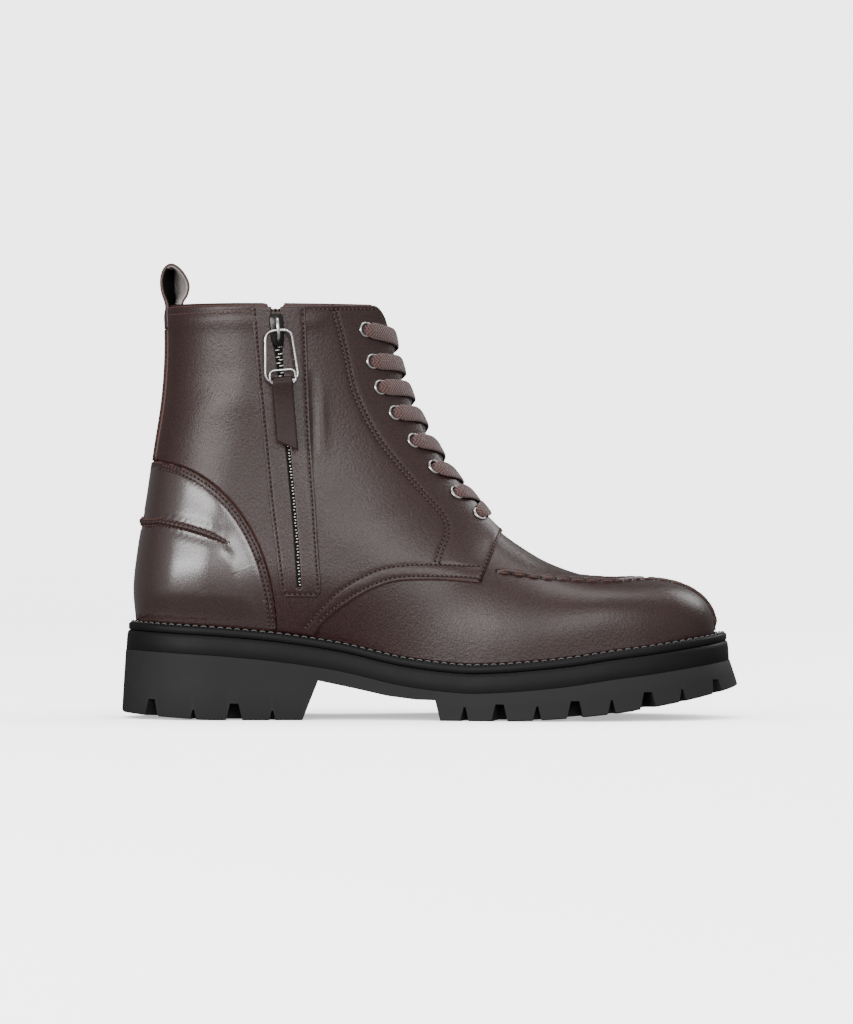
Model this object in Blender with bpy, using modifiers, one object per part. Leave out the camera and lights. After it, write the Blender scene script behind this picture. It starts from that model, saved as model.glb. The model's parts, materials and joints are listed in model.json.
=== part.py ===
"""Lace-up ankle boot for the left foot, with an inside zip, a stitched apron toe and a lugged rubber sole.

+X points to the toe, +Z up, and the inner (medial) side with the zip faces -Y.
Sizes in the tables are millimetres; meshes are built in metres.
"""

import math
from collections import namedtuple
from functools import lru_cache

import bmesh
import bpy
import numpy as np
from mathutils import Matrix, Vector
from mathutils.bvhtree import BVHTree
from mathutils.geometry import delaunay_2d_cdt
from mathutils.kdtree import KDTree

MM = 0.001
GAP = 0.3
SIDES = ("medial", "lateral")
OUTWARD = {"medial": -1.0, "lateral": 1.0}
# Middle of the sole's outline in the tables, which becomes the origin
MIDDLE = Vector((-0.25, 1.65, 0.0))

# Walls and overlays
UPPER_WALL = 2.2
QUARTER_THICK = 1.2
COUNTER_THICK = 2.0
BACKSTAY_THICK = 1.8
BACKSTAY_HALF = 9.5
FACING_THICK = 1.0
EDGE_GAP = 0.5
TONGUE_THICK = 2.0
TONGUE_DROP = 4.1
LAID_GAP = 0.5
ON_QUARTER = LAID_GAP + QUARTER_THICK

# Throat: half opening over the tongue and the rounded top corner of the facing
THROAT_HALF = 8.0
THROAT_FLARE = 1.5
CORNER_ROW = 20.7
CORNER_CUT = 12.0

# Sole layers and how far each stands out from the feather edge
WELT_THICK = 4.0
WELT_LEDGE = 6.0
WELT_INNER = -9.0
MIDSOLE_THICK = 9.6
MIDSOLE_LEDGE = (6.3, 7.1)
OUTSOLE_LEDGE = 7.5
INSOLE_THICK = 3.0
FOREFOOT_FLAT_END = 30.0
TOE_SPRING_RADIUS = 470.0
HEEL_FLAT_END = -105.0
HEEL_LIFT = 4.0
FOREFOOT_BREAST = (4.2, 6.9)
HEEL_BREAST = (-56.0, -64.0)
Waist = namedtuple("Waist", "x z")
WAIST = [Waist(-56.0, 19.6), Waist(-35.0, 15.4), Waist(-20.0, 12.1), Waist(-6.0, 10.4), Waist(4.2, 10.1)]
Ledge = namedtuple("Ledge", "x out")
TREAD_LEDGES = [
    Ledge(-156, 9.4), Ledge(-64, 9.0), Ledge(-56, 7.6), Ledge(4, 7.6),
    Ledge(7, 8.8), Ledge(100, 9.2), Ledge(146, 11.6),
]

# Notches round the tread: where, how wide at the floor and at the top, how deep and how far in
Notch = namedtuple("Notch", "x floor_width top_width depth inward")
WIDE_NOTCH = (8.2, 4.2, 8.4, 21.0)
SLIM_NOTCH = (4.4, 0.9, 7.0, 12.0)
HEEL_SLIM_NOTCH = (3.2, 0.8, 4.8, 9.0)
NOTCHES = [
    *(Notch(x, *WIDE_NOTCH) for x in (35.9, 71.3, 105.6, 135.0, -97.6, -133.5)),
    *(Notch(x, *SLIM_NOTCH) for x in (19.1, 53.4, 88.6, 120.8)),
    *(Notch(x, *HEEL_SLIM_NOTCH) for x in (-78.7, -116.1)),
]
TREAD_DIAMONDS = (22.0, 48.0, 74.0, 98.0, -86.0, -116.0)
DIAMOND_HALF = 9.0
DIAMOND_DEPTH = 5.0

# Side view of the medial side, x and z: edges, seams and fittings
Spot = namedtuple("Spot", "x z")
QUARTER_EDGE = [
    Spot(-58.3, 40.0), Spot(-53.9, 47.9), Spot(-45.6, 55.2), Spot(-33.0, 63.1),
    Spot(-20.3, 68.2), Spot(-7.6, 69.5), Spot(11.4, 69.2), Spot(27.3, 67.9), Spot(60.0, 66.0),
]
COUNTER_CENTRE = Spot(-140.5, 43.5)
COUNTER_REACH = Spot(64.0, 85.5)
HEEL_SEAM = [
    Spot(-99.5, 86.9), Spot(-103.7, 89.5), Spot(-112.0, 93.0), Spot(-122.2, 96.0), Spot(-133.0, 98.2),
]
HEEL_SEAM_BACK_Z = 99.0
EYELETS = [
    Spot(-33.0, 194.6), Spot(-29.5, 178.6), Spot(-25.5, 165.6), Spot(-18.3, 152.8),
    Spot(-9.0, 138.8), Spot(1.3, 125.5), Spot(12.5, 112.5), Spot(23.8, 101.7),
]
EYELET_OUTER = 4.1
EYELET_INNER = 2.8
EYELET_RISE = 0.9
LACE_WIDTH = 8.0
LACE_THICK = 1.1
LACE_PAST_CENTRE = 4.5

# Apron: the plan of its seam
APRON_FRONT = 107.0
APRON_BACK = 27.0
APRON_HALF = 27.5
APRON_SQUARENESS = 2.5
APRON_SEAM_END = 35.0

# Zip: the outer edges of its facing, its centre line and the slit between the facing's edges
ZipRow = namedtuple("ZipRow", "z back centre front slit")
ZIP = [
    ZipRow(206.3, -89.0, -77.1, -62.4, 4.0),
    ZipRow(195.0, -88.1, -76.4, -61.9, 5.0),
    ZipRow(182.0, -87.0, -75.3, -61.4, 3.6),
    ZipRow(166.0, -85.6, -73.7, -60.8, 2.4),
    ZipRow(140.0, -83.0, -71.2, -59.6, 2.1),
    ZipRow(107.0, -79.8, -67.9, -57.0, 2.0),
    ZipRow(86.0, -77.0, -66.2, -55.6, 2.0),
    ZipRow(67.0, -74.7, -65.0, -54.2, 2.0),
]
ZIP_FACING_FOOT = 61.5
ZIP_NOTCH_DEPTH = 6.0
ZIP_CHAIN_TOP = 186.0
ZIP_CHAIN_HALF = 1.5
ZIP_PIVOT = Spot(-76.3, 192.5)
SLIDER_WIDTH, SLIDER_HEIGHT, SLIDER_RISE = 7.6, 14.0, 2.4
BAIL_WIDTH, BAIL_HEIGHT, BAIL_RISE, BAIL_BAR = 2.6, 8.0, 4.4, 1.2
RING_WIRE = 0.85
RING_TOP_HALF, RING_FOOT_HALF, RING_DROP = 6.4, 8.4, 24.0
TAB_WIDTH, TAB_THICK, TAB_LENGTH, TAB_SLANT = 10.0, 1.8, 35.0, 5.5
TAB_FOLD = 2.3

# Pull loop, a strap over the centre back: path of its middle, and how far its edges curve forward
LoopRow = namedtuple("LoopRow", "x z edge_forward half")
LOOP_TOP_OF_BACKSTAY = 195.0
PULL_LOOP = [
    LoopRow(-133.05, 196.0, 1.55, 9.5), LoopRow(-133.3, 202.0, 1.55, 9.5), LoopRow(-133.5, 208.0, 1.5, 9.5),
    LoopRow(-135.2, 214.0, 1.0, 9.5), LoopRow(-135.5, 220.0, 0.6, 9.5), LoopRow(-133.8, 225.3, 0.3, 9.4),
    LoopRow(-130.4, 227.6, 0.0, 9.3), LoopRow(-126.8, 226.0, 0.0, 9.2), LoopRow(-123.6, 222.2, 0.0, 9.1),
    LoopRow(-122.0, 217.6, 0.3, 9.0), LoopRow(-123.2, 213.0, 0.8, 9.0), LoopRow(-126.2, 209.0, 1.6, 9.0),
    LoopRow(-127.9, 204.0, 2.4, 9.0), LoopRow(-127.8, 197.0, 2.4, 9.0),
]
LOOP_THICK = 1.5

# The last: one row for each section from the toe round the heel and up the shaft.
# A section runs from its top point on the centre line to its low point, on the feather edge
# for the rows up to HEEL_ROW and on the centre back above it. "flank" is the half width at the
# low point before the heel is rounded off, "bulge" the swell above it and "fullness" the squareness
# of the arch over the foot; "depth" is how far behind the top line the shaft reaches its full width.
Section = namedtuple(
    "Section",
    "top_x top_y top_z low_x low_z flank_medial flank_lateral bulge_medial bulge_lateral fullness depth",
)
LAST = [
    Section(104.0, -3.5, 69.3, 143.4, 42.7, 4.0, -4.0, 0.0, 0.0, 2.4, 52),
    Section(104.0, -3.5, 69.3, 138.5, 41.9, 21.0, 13.5, 0.8, 0.8, 2.5, 52),
    Section(103.5, -3.5, 69.3, 127.0, 40.2, 33.0, 26.5, 1.4, 1.4, 2.7, 52),
    Section(100.0, -3.3, 69.4, 110.0, 37.6, 41.0, 36.5, 1.8, 1.8, 3.0, 52),
    Section(90.0, -2.8, 69.9, 90.0, 35.0, 45.2, 43.3, 2.0, 2.0, 3.2, 52),
    Section(75.0, -2.2, 72.4, 69.0, 31.8, 46.8, 47.6, 2.4, 2.4, 2.9, 52),
    Section(59.0, -1.6, 78.3, 48.0, 29.6, 46.0, 50.0, 3.0, 3.0, 2.5, 52),
    Section(46.5, -1.0, 85.6, 31.0, 28.4, 43.2, 50.2, 4.2, 3.6, 2.3, 52),
    Section(36.2, -0.6, 93.0, 14.0, 28.3, 39.0, 49.0, 6.0, 4.6, 2.2, 54),
    Section(31.0, -0.3, 99.0, -14.0, 31.7, 32.8, 45.0, 8.5, 5.5, 2.1, 57),
    Section(26.5, 0.0, 104.8, -44.0, 38.6, 29.0, 39.5, 11.0, 7.0, 2.0, 60),
    Section(22.0, 0.0, 110.2, -74.0, 43.3, 30.0, 35.5, 11.0, 9.0, 2.0, 63),
    Section(18.0, 0.0, 115.0, -103.0, 46.2, 31.2, 33.2, 11.0, 10.0, 2.0, 67),
    Section(14.8, 0.0, 118.8, -126.0, 47.7, 31.5, 32.0, 11.0, 11.0, 2.0, 70),
    Section(12.2, 0.0, 122.0, -140.5, 48.5, 31.5, 31.5, 11.0, 11.0, 2.0, 73),
    Section(9.0, 0.0, 126.4, -146.0, 48.8, 31.5, 31.5, 11.0, 11.0, 2.0, 75),
    Section(3.5, 0.0, 135.3, -147.2, 66.0, 31.5, 31.5, 11.0, 11.0, 2.0, 78),
    Section(-3.5, 0.0, 148.0, -144.8, 87.0, 31.5, 31.5, 11.0, 11.0, 2.0, 80),
    Section(-9.8, 0.0, 161.0, -140.8, 110.0, 31.5, 31.5, 11.0, 11.0, 2.0, 80),
    Section(-14.6, 0.0, 174.5, -137.2, 135.0, 31.5, 31.5, 11.0, 11.0, 2.0, 80),
    Section(-18.0, 0.0, 187.0, -133.4, 160.0, 31.5, 31.5, 11.0, 11.0, 2.0, 80),
    Section(-20.0, 0.0, 197.5, -131.8, 184.0, 31.5, 31.5, 11.0, 11.0, 2.0, 80),
    Section(-21.0, 0.0, 207.5, -132.2, 207.5, 31.5, 31.5, 11.0, 11.0, 2.0, 80),
]
# Half width of the heel, the ankle and the shaft by height
Girth = namedtuple("Girth", "z medial lateral")
GIRTHS = [
    Girth(40, 37.0, 40.0),
    Girth(70, 36.5, 38.5),
    Girth(100, 35.5, 36.8),
    Girth(130, 35.2, 36.0),
    Girth(160, 36.2, 36.8),
    Girth(190, 37.4, 38.0),
    Girth(220, 38.4, 39.0),
]
GIRTH_RISE = 34.0
FOOT_TO_SHAFT_ROWS = (7.0, 12.0)
THROAT_ROW = 8
HEEL_ROW = 15
COLLAR_ROW = len(LAST) - 1
TOE_FAN_ROWS = (2.0, 5.0)
# How far forward of the centre back the heel and the shaft are rounded, at the feather and the collar
HEEL_ROUND = 38.0
COLLAR_ROUND = 48.0


def spline(values, u, before=None, after=None):
    """A smooth curve through values at 0, 1, 2 ...; before and after steer its two ends."""
    values = np.asarray(values, float)
    first = 2 * values[0] - values[1] if before is None else before
    last = 2 * values[-1] - values[-2] if after is None else after
    padded = np.concatenate([[first], values, [last]])
    u = np.clip(np.asarray(u, float), 0, len(values) - 1)
    i = np.minimum(u.astype(int), len(values) - 2)
    t = u - i
    a, b, c, d = padded[i], padded[i + 1], padded[i + 2], padded[i + 3]
    return 0.5 * (
        2 * b + (c - a) * t + (2 * a - 5 * b + 4 * c - d) * t**2 + (3 * b - a - 3 * c + d) * t**3
    )


def smoothstep(low, high, value):
    t = np.clip((np.asarray(value, float) - low) / (high - low), 0, 1)
    return t * t * (3 - 2 * t)


def column(name, u):
    return spline([getattr(row, name) for row in LAST], u)


def fine_line(names, first, last):
    """Columns of the last from row first to row last, drawn finely."""
    return [
        spline([getattr(row, name) for row in LAST[first : last + 1]], np.linspace(0, last - first, 121))
        for name in names
    ]


BACK_LINE = fine_line(("low_z", "low_x"), HEEL_ROW, COLLAR_ROW)
FEATHER_LINE = [line[::-1] for line in fine_line(("low_x", "low_z"), THROAT_ROW - 2, HEEL_ROW)]
FLANK_LINES = {
    side: [line[::-1] for line in fine_line(("low_x", "flank_" + side), THROAT_ROW - 2, HEEL_ROW)]
    for side in SIDES
}


def low_line(side, u):
    """The low ends of the sections: round the feather edge, then up the centre back."""
    other = SIDES[1 - SIDES.index(side)]
    ends = []
    for name in ("low_x", "low_z"):
        foot = [getattr(row, name) for row in LAST[: HEEL_ROW + 1]]
        back = [getattr(row, name) for row in LAST[HEEL_ROW:]]
        on_foot = spline(foot, np.minimum(u, HEEL_ROW), foot[1], foot[-2])
        ends.append(np.where(u <= HEEL_ROW, on_foot, spline(back, np.maximum(u - HEEL_ROW, 0))))
    flank = spline([getattr(row, "flank_" + side) for row in LAST], u, -getattr(LAST[1], "flank_" + other))
    return ends[0], flank * OUTWARD[side], ends[1]


def quarter_round(share):
    share = np.clip(share, 0, 1)
    return np.sqrt(np.maximum(1 - (1 - share) ** 2, 0))


def shaft_half_width(side, x, z, behind_top, depth):
    """Half width behind the instep: the flank, the girth at this height, rounded at front and back."""
    height = np.clip((z - np.interp(x, *FEATHER_LINE)) / GIRTH_RISE, 0, 1)
    low = np.interp(x, *FLANK_LINES[side])
    steps = (z - GIRTHS[0].z) / (GIRTHS[1].z - GIRTHS[0].z)
    full = spline([getattr(row, side) for row in GIRTHS], steps)
    width = low + (full - low) * np.sin(np.pi / 2 * height)
    back_reach = HEEL_ROUND + (COLLAR_ROUND - HEEL_ROUND) * smoothstep(60, 200, z)
    behind_back = (x - np.interp(z, *BACK_LINE)) / back_reach
    return width * quarter_round(behind_top / depth) * quarter_round(behind_back)


def last_point(side, u, v):
    """A point of the last: row u, and v from 0 on the top line to 1 on the low line."""
    u, v = np.broadcast_arrays(np.asarray(u, float), np.asarray(v, float))
    top = [column(name, u) for name in ("top_x", "top_y", "top_z")]
    low = low_line(side, u)
    power = 2 / column("fullness", u)
    rake = smoothstep(*TOE_FAN_ROWS, u)
    out = np.sin(np.pi * v / 2) ** power
    drop = 1 - np.clip(np.cos(np.pi * v / 2), 0, 1) ** power
    bulge = np.maximum(column("bulge_" + side, u), 0) * np.sin(np.pi * np.clip(v, 0, 1))
    reach = np.hypot(low[0] - top[0], low[1] - top[1]) + 1e-9
    lean_x = (1 - rake) * (low[0] - top[0]) / reach
    lean_y = (1 - rake) * (low[1] - top[1]) / reach + rake * OUTWARD[side]
    x = top[0] + (low[0] - top[0]) * ((1 - rake) * out + rake * drop) + bulge * lean_x
    foot_y = top[1] + (low[1] - top[1]) * out + bulge * lean_y
    z = top[2] + (low[2] - top[2]) * drop
    behind_top = drop * np.hypot(low[0] - top[0], low[2] - top[2])
    shaft_y = OUTWARD[side] * shaft_half_width(side, x, z, behind_top, column("depth", u))
    shaft_y = np.where((u >= HEEL_ROW) & (v >= 1), 0.0, shaft_y)
    shaft = smoothstep(*FOOT_TO_SHAFT_ROWS, u)
    return np.stack([x, foot_y + (shaft_y - foot_y) * shaft, z], axis=-1)


SECTION_STEPS = 160


@lru_cache(maxsize=None)
def section(side, u):
    """One section as a fine polyline, and the length along it at each of its points."""
    v = smoothstep(0, 1, np.linspace(0, 1, SECTION_STEPS + 1))
    points = last_point(side, np.full_like(v, u), v)
    lengths = np.concatenate([[0], np.cumsum(np.linalg.norm(np.diff(points, axis=0), axis=1))])
    return points, lengths


def at_length(side, u, length):
    """The point of section u at this many millimetres from the top line."""
    points, lengths = section(side, u)
    return np.array([np.interp(length, lengths, points[:, axis]) for axis in range(3)])


def at(side, u, w):
    """The point of section u at share w of its length."""
    return at_length(side, u, w * section(side, u)[1][-1])


def normal_at(side, u, w):
    """The outward normal of the last."""
    du, dw = 0.04, 0.012
    u0, u1 = max(u - du, 0), min(u + du, COLLAR_ROW)
    w0, w1 = max(w - dw, 0.001), min(w + dw, 0.999)
    along = at(side, u1, w) - at(side, u0, w)
    across = at(side, u, w1) - at(side, u, w0)
    if np.linalg.norm(along) < 0.01:
        return np.array([0.0, 0.0, 1.0])
    normal = np.cross(across, along) * OUTWARD[side]
    if w <= 0 or u <= 0 or (w >= 1 and u >= HEEL_ROW):
        normal[1] = 0.0
    if w >= 1 and u <= HEEL_ROW:
        normal[2] = 0.0
    return normal / (np.linalg.norm(normal) + 1e-12)


def lifted(side, u, w, lift):
    return at(side, u, w) + lift * normal_at(side, u, w)


# Placing things on the last


def section_lengths(side, u):
    return section(side, u)[1][-1]


def guess_tree(side, axes):
    """Points of the last seen along one axis, to start the search of locate."""
    spots = [(u, w) for u in np.linspace(0.2, COLLAR_ROW, 110) for w in np.linspace(0.01, 0.99, 30)]
    tree = KDTree(len(spots))
    for index, (u, w) in enumerate(spots):
        point = at(side, u, w)
        tree.insert((point[axes[0]], point[axes[1]], 0.0), index)
    tree.balance()
    return tree, spots


SIDE_VIEW = (0, 2)
PLAN_VIEW = (0, 1)
GUESSES = {}


def locate(side, first, second, axes=SIDE_VIEW):
    """Row u and share w of the point of the last that is seen at these two coordinates."""
    if (side, axes) not in GUESSES:
        GUESSES[side, axes] = guess_tree(side, axes)
    tree, spots = GUESSES[side, axes]
    u, w = spots[tree.find((first, second, 0.0))[1]]
    for _ in range(12):
        here = at(side, u, w)[list(axes)]
        du = (at(side, min(u + 0.01, COLLAR_ROW), w)[list(axes)] - here) / 0.01
        dw = (at(side, u, min(w + 0.002, 1.0))[list(axes)] - here) / 0.002
        step = np.linalg.lstsq(np.stack([du, dw], axis=1), np.array([first, second]) - here, rcond=None)[0]
        u = float(np.clip(u + np.clip(step[0], -0.4, 0.4), 0, COLLAR_ROW - 0.01))
        w = float(np.clip(w + np.clip(step[1], -0.08, 0.08), 0.0, 0.998))
    return u, w


def throat_edge(u):
    """Distance of the upper's edge from the centre line along section u."""
    if u <= THROAT_ROW:
        return 0.0
    opening = THROAT_HALF * float(quarter_round((u - THROAT_ROW) / 1.2))
    opening += THROAT_FLARE * (u - THROAT_ROW) / (COLLAR_ROW - THROAT_ROW)
    corner = np.clip((u - CORNER_ROW) / (COLLAR_ROW - CORNER_ROW), 0, 1)
    return opening + CORNER_CUT * (1 - math.sqrt(1 - 0.985 * corner**2))


def below_quarter_edge(point):
    x = point[:, 0]
    edge = np.interp(x, [spot.x for spot in QUARTER_EDGE], [spot.z for spot in QUARTER_EDGE])
    return np.where(x < QUARTER_EDGE[0].x, -1.0, edge - point[:, 2])


def in_counter(point):
    forward = np.maximum(point[:, 0] - COUNTER_CENTRE.x, 0) / COUNTER_REACH.x
    upward = (point[:, 2] - COUNTER_CENTRE.z) / COUNTER_REACH.z
    return 1 - np.hypot(forward, upward)


def in_backstay(point):
    return np.where(point[:, 0] < -100, BACKSTAY_HALF - np.abs(point[:, 1]), -1.0)


def length_to(side, u, inside):
    """How far along section u the first point lies where inside() turns positive."""
    points, lengths = section(side, u)
    values = inside(points)
    hits = np.nonzero(values > 0)[0]
    if len(hits) == 0:
        return lengths[-1]
    i = hits[0]
    if i == 0:
        return 0.0
    share = -values[i - 1] / (values[i] - values[i - 1] + 1e-12)
    return lengths[i - 1] + share * (lengths[i] - lengths[i - 1])


# Building meshes


def fresh_collection(name):
    made = bpy.data.collections.new(name)
    bpy.context.scene.collection.children.link(made)
    return made


def look(name, colour, roughness, metallic=0.0):
    made = bpy.data.materials.new(name)
    made.use_nodes = True
    shader = made.node_tree.nodes["Principled BSDF"]
    shader.inputs["Base Color"].default_value = (*colour, 1.0)
    shader.inputs["Roughness"].default_value = roughness
    shader.inputs["Metallic"].default_value = metallic
    return made


LEATHER = ((0.060, 0.022, 0.018), 0.38)
EDGE_LEATHER = ((0.110, 0.050, 0.035), 0.6)
RUBBER = ((0.040, 0.040, 0.042), 0.75)
BLACK_RUBBER = ((0.012, 0.012, 0.013), 0.6)
STEEL = ((0.62, 0.61, 0.60), 0.25, 1.0)
CORD = ((0.055, 0.030, 0.026), 0.85)
LINING = ((0.30, 0.20, 0.13), 0.8)


def place(name, mesh, finish, home=None):
    mesh.materials.append(look(name, *finish))
    mesh.shade_smooth()
    made = bpy.data.objects.new(name, mesh)
    (home or BOOT).objects.link(made)
    return made


def mesh_of(name, points, faces, weld=0.0, closed=True):
    """A mesh in metres from points in millimetres; closed ones have their faces turned outward."""
    form = bmesh.new()
    corners = [form.verts.new((Vector(point) - MIDDLE) * MM) for point in points]
    for face in faces:
        form.faces.new([corners[i] for i in face])
    if weld:
        bmesh.ops.remove_doubles(form, verts=form.verts, dist=weld * MM)
    if closed:
        bmesh.ops.recalc_face_normals(form, faces=form.faces)
    mesh = bpy.data.meshes.new(name)
    form.to_mesh(mesh)
    form.free()
    return mesh


def grid_faces(rows, columns, flip, start=0):
    faces = []
    for i in range(rows - 1):
        for j in range(columns - 1):
            a = start + i * columns + j
            for face in ([a, a + 1, a + columns + 1], [a, a + columns + 1, a + columns]):
                faces.append(face[::-1] if flip else face)
    return faces


WELD = 0.08
ROW_SPAN = 14.0


def wall(name, corners, faces, inner, outer, finish):
    """A wall on the last between two lifts, over triangles of (side, u, w) corners."""
    base = [at(*corner) for corner in corners]
    tree = KDTree(len(base))
    for index, point in enumerate(base):
        tree.insert(point, index)
    tree.balance()
    kept = [min(index for _, index, _ in tree.find_range(point, WELD)) for point in base]
    faces = [[kept[i] for i in face] for face in faces]
    faces = [face for face in faces if len(set(face)) == 3]
    used = sorted({i for face in faces for i in face})
    order = {corner: rank for rank, corner in enumerate(used)}
    count = len(used)
    points = [base[i] + lift * normal_at(*corners[i]) for lift in (outer, inner) for i in used]
    outside = [[order[i] for i in face] for face in faces]
    edges = {(face[k], face[(k + 1) % 3]) for face in outside for k in range(3)}
    inside = [[i + count for i in face[::-1]] for face in outside]
    rim_faces = sorted([b, a, a + count, b + count] for a, b in edges if (b, a) not in edges)
    return place(name, mesh_of(name, points, outside + inside + rim_faces), finish)


def lofted_wall(name, patches, inner, outer, finish):
    """A wall over grids; each patch is (side, rows) and each row (u, lengths along section u)."""
    corners, faces = [], []
    for side, rows in patches:
        faces += grid_faces(len(rows), len(rows[0][1]), side == "medial", len(corners))
        for u, lengths in rows:
            full = section_lengths(side, u)
            corners += [(side, u, float(np.clip(length / full, 0, 1))) for length in lengths]
    return wall(name, corners, faces, inner, outer, finish)


def cut_wall(name, side, outline, spots, inner, outer, finish):
    """A wall cut to an outline of (u, length) on one side, with corners at the spots inside it."""
    flat = [Vector((ROW_SPAN * u, length)) for u, length in outline]
    ring = [(i, (i + 1) % len(flat)) for i in range(len(flat))]
    flat += [Vector((ROW_SPAN * u, length)) for u, length in spots]
    corners, _, faces, _, _, _ = delaunay_2d_cdt(flat, ring, [], 1, 1e-6)
    placed = []
    for corner in corners:
        u = corner.x / ROW_SPAN
        placed.append((side, u, float(np.clip(corner.y / section_lengths(side, u), 0, 1))))
    return wall(name, placed, [list(face) for face in faces], inner, outer, finish)


def shell(name, rows, thickness, finish):
    """An open grid of points given a wall by Solidify."""
    points = [point for row in rows for point in row]
    mesh = mesh_of(name, points, grid_faces(len(rows), len(rows[0]), False), closed=False)
    made = place(name, mesh, finish)
    wall = made.modifiers.new("wall", "SOLIDIFY")
    wall.thickness = thickness * MM
    wall.offset = 0.0
    return made


def sweep(name, centres, normals, outlines, finish, home=None):
    """A closed strip along centres; each outline lists (across, up) corners about its centre."""
    centres = [np.asarray(centre, float) for centre in centres]
    points = []
    for i, centre in enumerate(centres):
        ahead = centres[min(i + 1, len(centres) - 1)] - centres[max(i - 1, 0)]
        up = np.asarray(normals[i], float)
        across = np.cross(up, ahead)
        across /= np.linalg.norm(across)
        points += [centre + a * across + b * up for a, b in outlines[i]]
    count = len(outlines[0])
    faces = [list(range(count)), [len(points) - 1 - k for k in range(count)]]
    for i in range(len(centres) - 1):
        for k in range(count):
            n = (k + 1) % count
            faces.append([i * count + k, i * count + n, (i + 1) * count + n, (i + 1) * count + k])
    return place(name, mesh_of(name, points, faces), finish, home)


def ridge_outline(half, rise):
    return [(-half, 0.0), (-0.45 * half, rise), (0.45 * half, rise), (half, 0.0)]


def strap_outline(half, thick):
    return [(-half, 0.0), (-half, thick), (half, thick), (half, 0.0)]


def boolean(target, cutter, operation):
    step = target.modifiers.new(operation.lower(), "BOOLEAN")
    step.operation = operation
    step.solver = "EXACT"
    step.object = cutter
    return step


def hide_cutter(cutter):
    cutter.hide_render = True
    cutter.display_type = "WIRE"
    return cutter


def prism(outline, low, high, frame=Matrix()):
    """Points and faces of an outline of (a, b) corners raised from low to high in a frame."""
    count = len(outline)
    points = [frame @ Vector((a, b, c)) for c in (low, high) for a, b in outline]
    faces = [list(range(count))[::-1], list(range(count, 2 * count))]
    faces += [[k, (k + 1) % count, count + (k + 1) % count, count + k] for k in range(count)]
    return points, faces


def joined(name, solids, finish, home):
    """One mesh of several separate closed solids, each a (points, faces) pair."""
    points, faces = [], []
    for solid_points, solid_faces in solids:
        faces += [[i + len(points) for i in face] for face in solid_faces]
        points += solid_points
    return place(name, mesh_of(name, points, faces), finish, home)


def box_outline(low_a, low_b, high_a, high_b):
    return [(low_a, low_b), (high_a, low_b), (high_a, high_b), (low_a, high_b)]


def ring_outline(radius, count):
    return [
        (radius * math.cos(2 * math.pi * k / count), radius * math.sin(2 * math.pi * k / count))
        for k in range(count)
    ]


for stale in list(bpy.data.objects):
    bpy.data.objects.remove(stale, do_unlink=True)
BOOT = fresh_collection("lace_up_boot")
CUTTERS = fresh_collection("cutters")


# Sole

OUTLINE_ROWS = np.linspace(0, HEEL_ROW, 601)
OUTLINE_X = low_line("medial", OUTLINE_ROWS)[0]
FEATHER_X = np.concatenate([[160.0], OUTLINE_X, [-160.0]])
FEATHER_Z = low_line("medial", OUTLINE_ROWS)[2]
FEATHER_Z = np.concatenate([[FEATHER_Z[0] + 2.6], FEATHER_Z, [FEATHER_Z[-1] + 0.1]])


def row_of_x(x):
    return float(np.interp(-x, -OUTLINE_X, OUTLINE_ROWS))


def feather_z(x):
    return float(np.interp(-x, -FEATHER_X, FEATHER_Z))


def feather_xy(side, u):
    return last_point(side, u, 1.0 - 1e-9 if u >= HEEL_ROW else 1.0)[:2]


def rim(side, u, out):
    """The plan of the feather edge at row u, moved out square to it."""
    here = feather_xy(side, u)
    if u <= 0 or u >= HEEL_ROW:
        return np.array([here[0] + (out if u <= 0 else -out), here[1] if u <= 0 else 0.0]), None
    ahead = feather_xy(side, min(u + 0.01, HEEL_ROW - 1e-6)) - feather_xy(side, u - 0.01)
    square = np.array([ahead[1], -ahead[0]]) * OUTWARD[side]
    square /= np.linalg.norm(square)
    return here + out * square, square


TOE_ROWS = [0, 0.2, 0.45, 0.75, 1.05, 1.4, 1.8, 2.2, 2.7, 3.2]
SOLE_X = [94, 80, 66, 54, 42, 30, 18, 6.9, 4.2, -8, -20, -32, -44, -56, -64, -76, -88, -98]
SOLE_X += [-105, -113, -121]
HEEL_ROWS = [13.1, 13.45, 13.8, 14.1, 14.35, 14.6, 14.8, 15]
SOLE_ROWS = TOE_ROWS + [row_of_x(x) for x in SOLE_X] + HEEL_ROWS


def tread_out(x):
    return float(np.interp(x, [ledge.x for ledge in TREAD_LEDGES], [ledge.out for ledge in TREAD_LEDGES]))


def tread_z(x):
    """The underside of the outsole: forefoot with toe spring, waist, heel with its lifted back."""
    if x >= FOREFOOT_BREAST[1] - 0.6:
        return max(x - FOREFOOT_FLAT_END, 0) ** 2 / (2 * TOE_SPRING_RADIUS)
    if x > HEEL_BREAST[1] + 0.6:
        return float(np.interp(x, [row.x for row in WAIST], [row.z for row in WAIST]))
    return HEEL_LIFT * max((HEEL_FLAT_END - x) / 50.0, 0) ** 1.3


def plate(name, levels, finish, rows=SOLE_ROWS):
    """A layer of the sole: levels of (out, height) from top to bottom, closed by rungs across."""
    points, faces = [], []
    count = len(rows)
    for out, height in levels:
        for side in SIDES:
            for u in rows:
                x, y = rim(side, u, out(feather_xy(side, u)[0]))[0]
                points.append((x, y, height(x, feather_xy(side, u)[0])))
    size = 2 * count
    for k in range(count - 1):
        for level in range(len(levels) - 1):
            for first in (0, count):
                a = level * size + first + k
                faces.append([a, a + 1, a + size + 1, a + size])
        for level in (0, len(levels) - 1):
            a = level * size + k
            faces.append([a, a + 1, a + count + 1, a + count])
    return place(name, mesh_of(name, points, faces, weld=0.02), finish)


def fixed(value):
    return lambda x: value


def under_feather(drop):
    return lambda x, foot_x: feather_z(x) - drop


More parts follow.
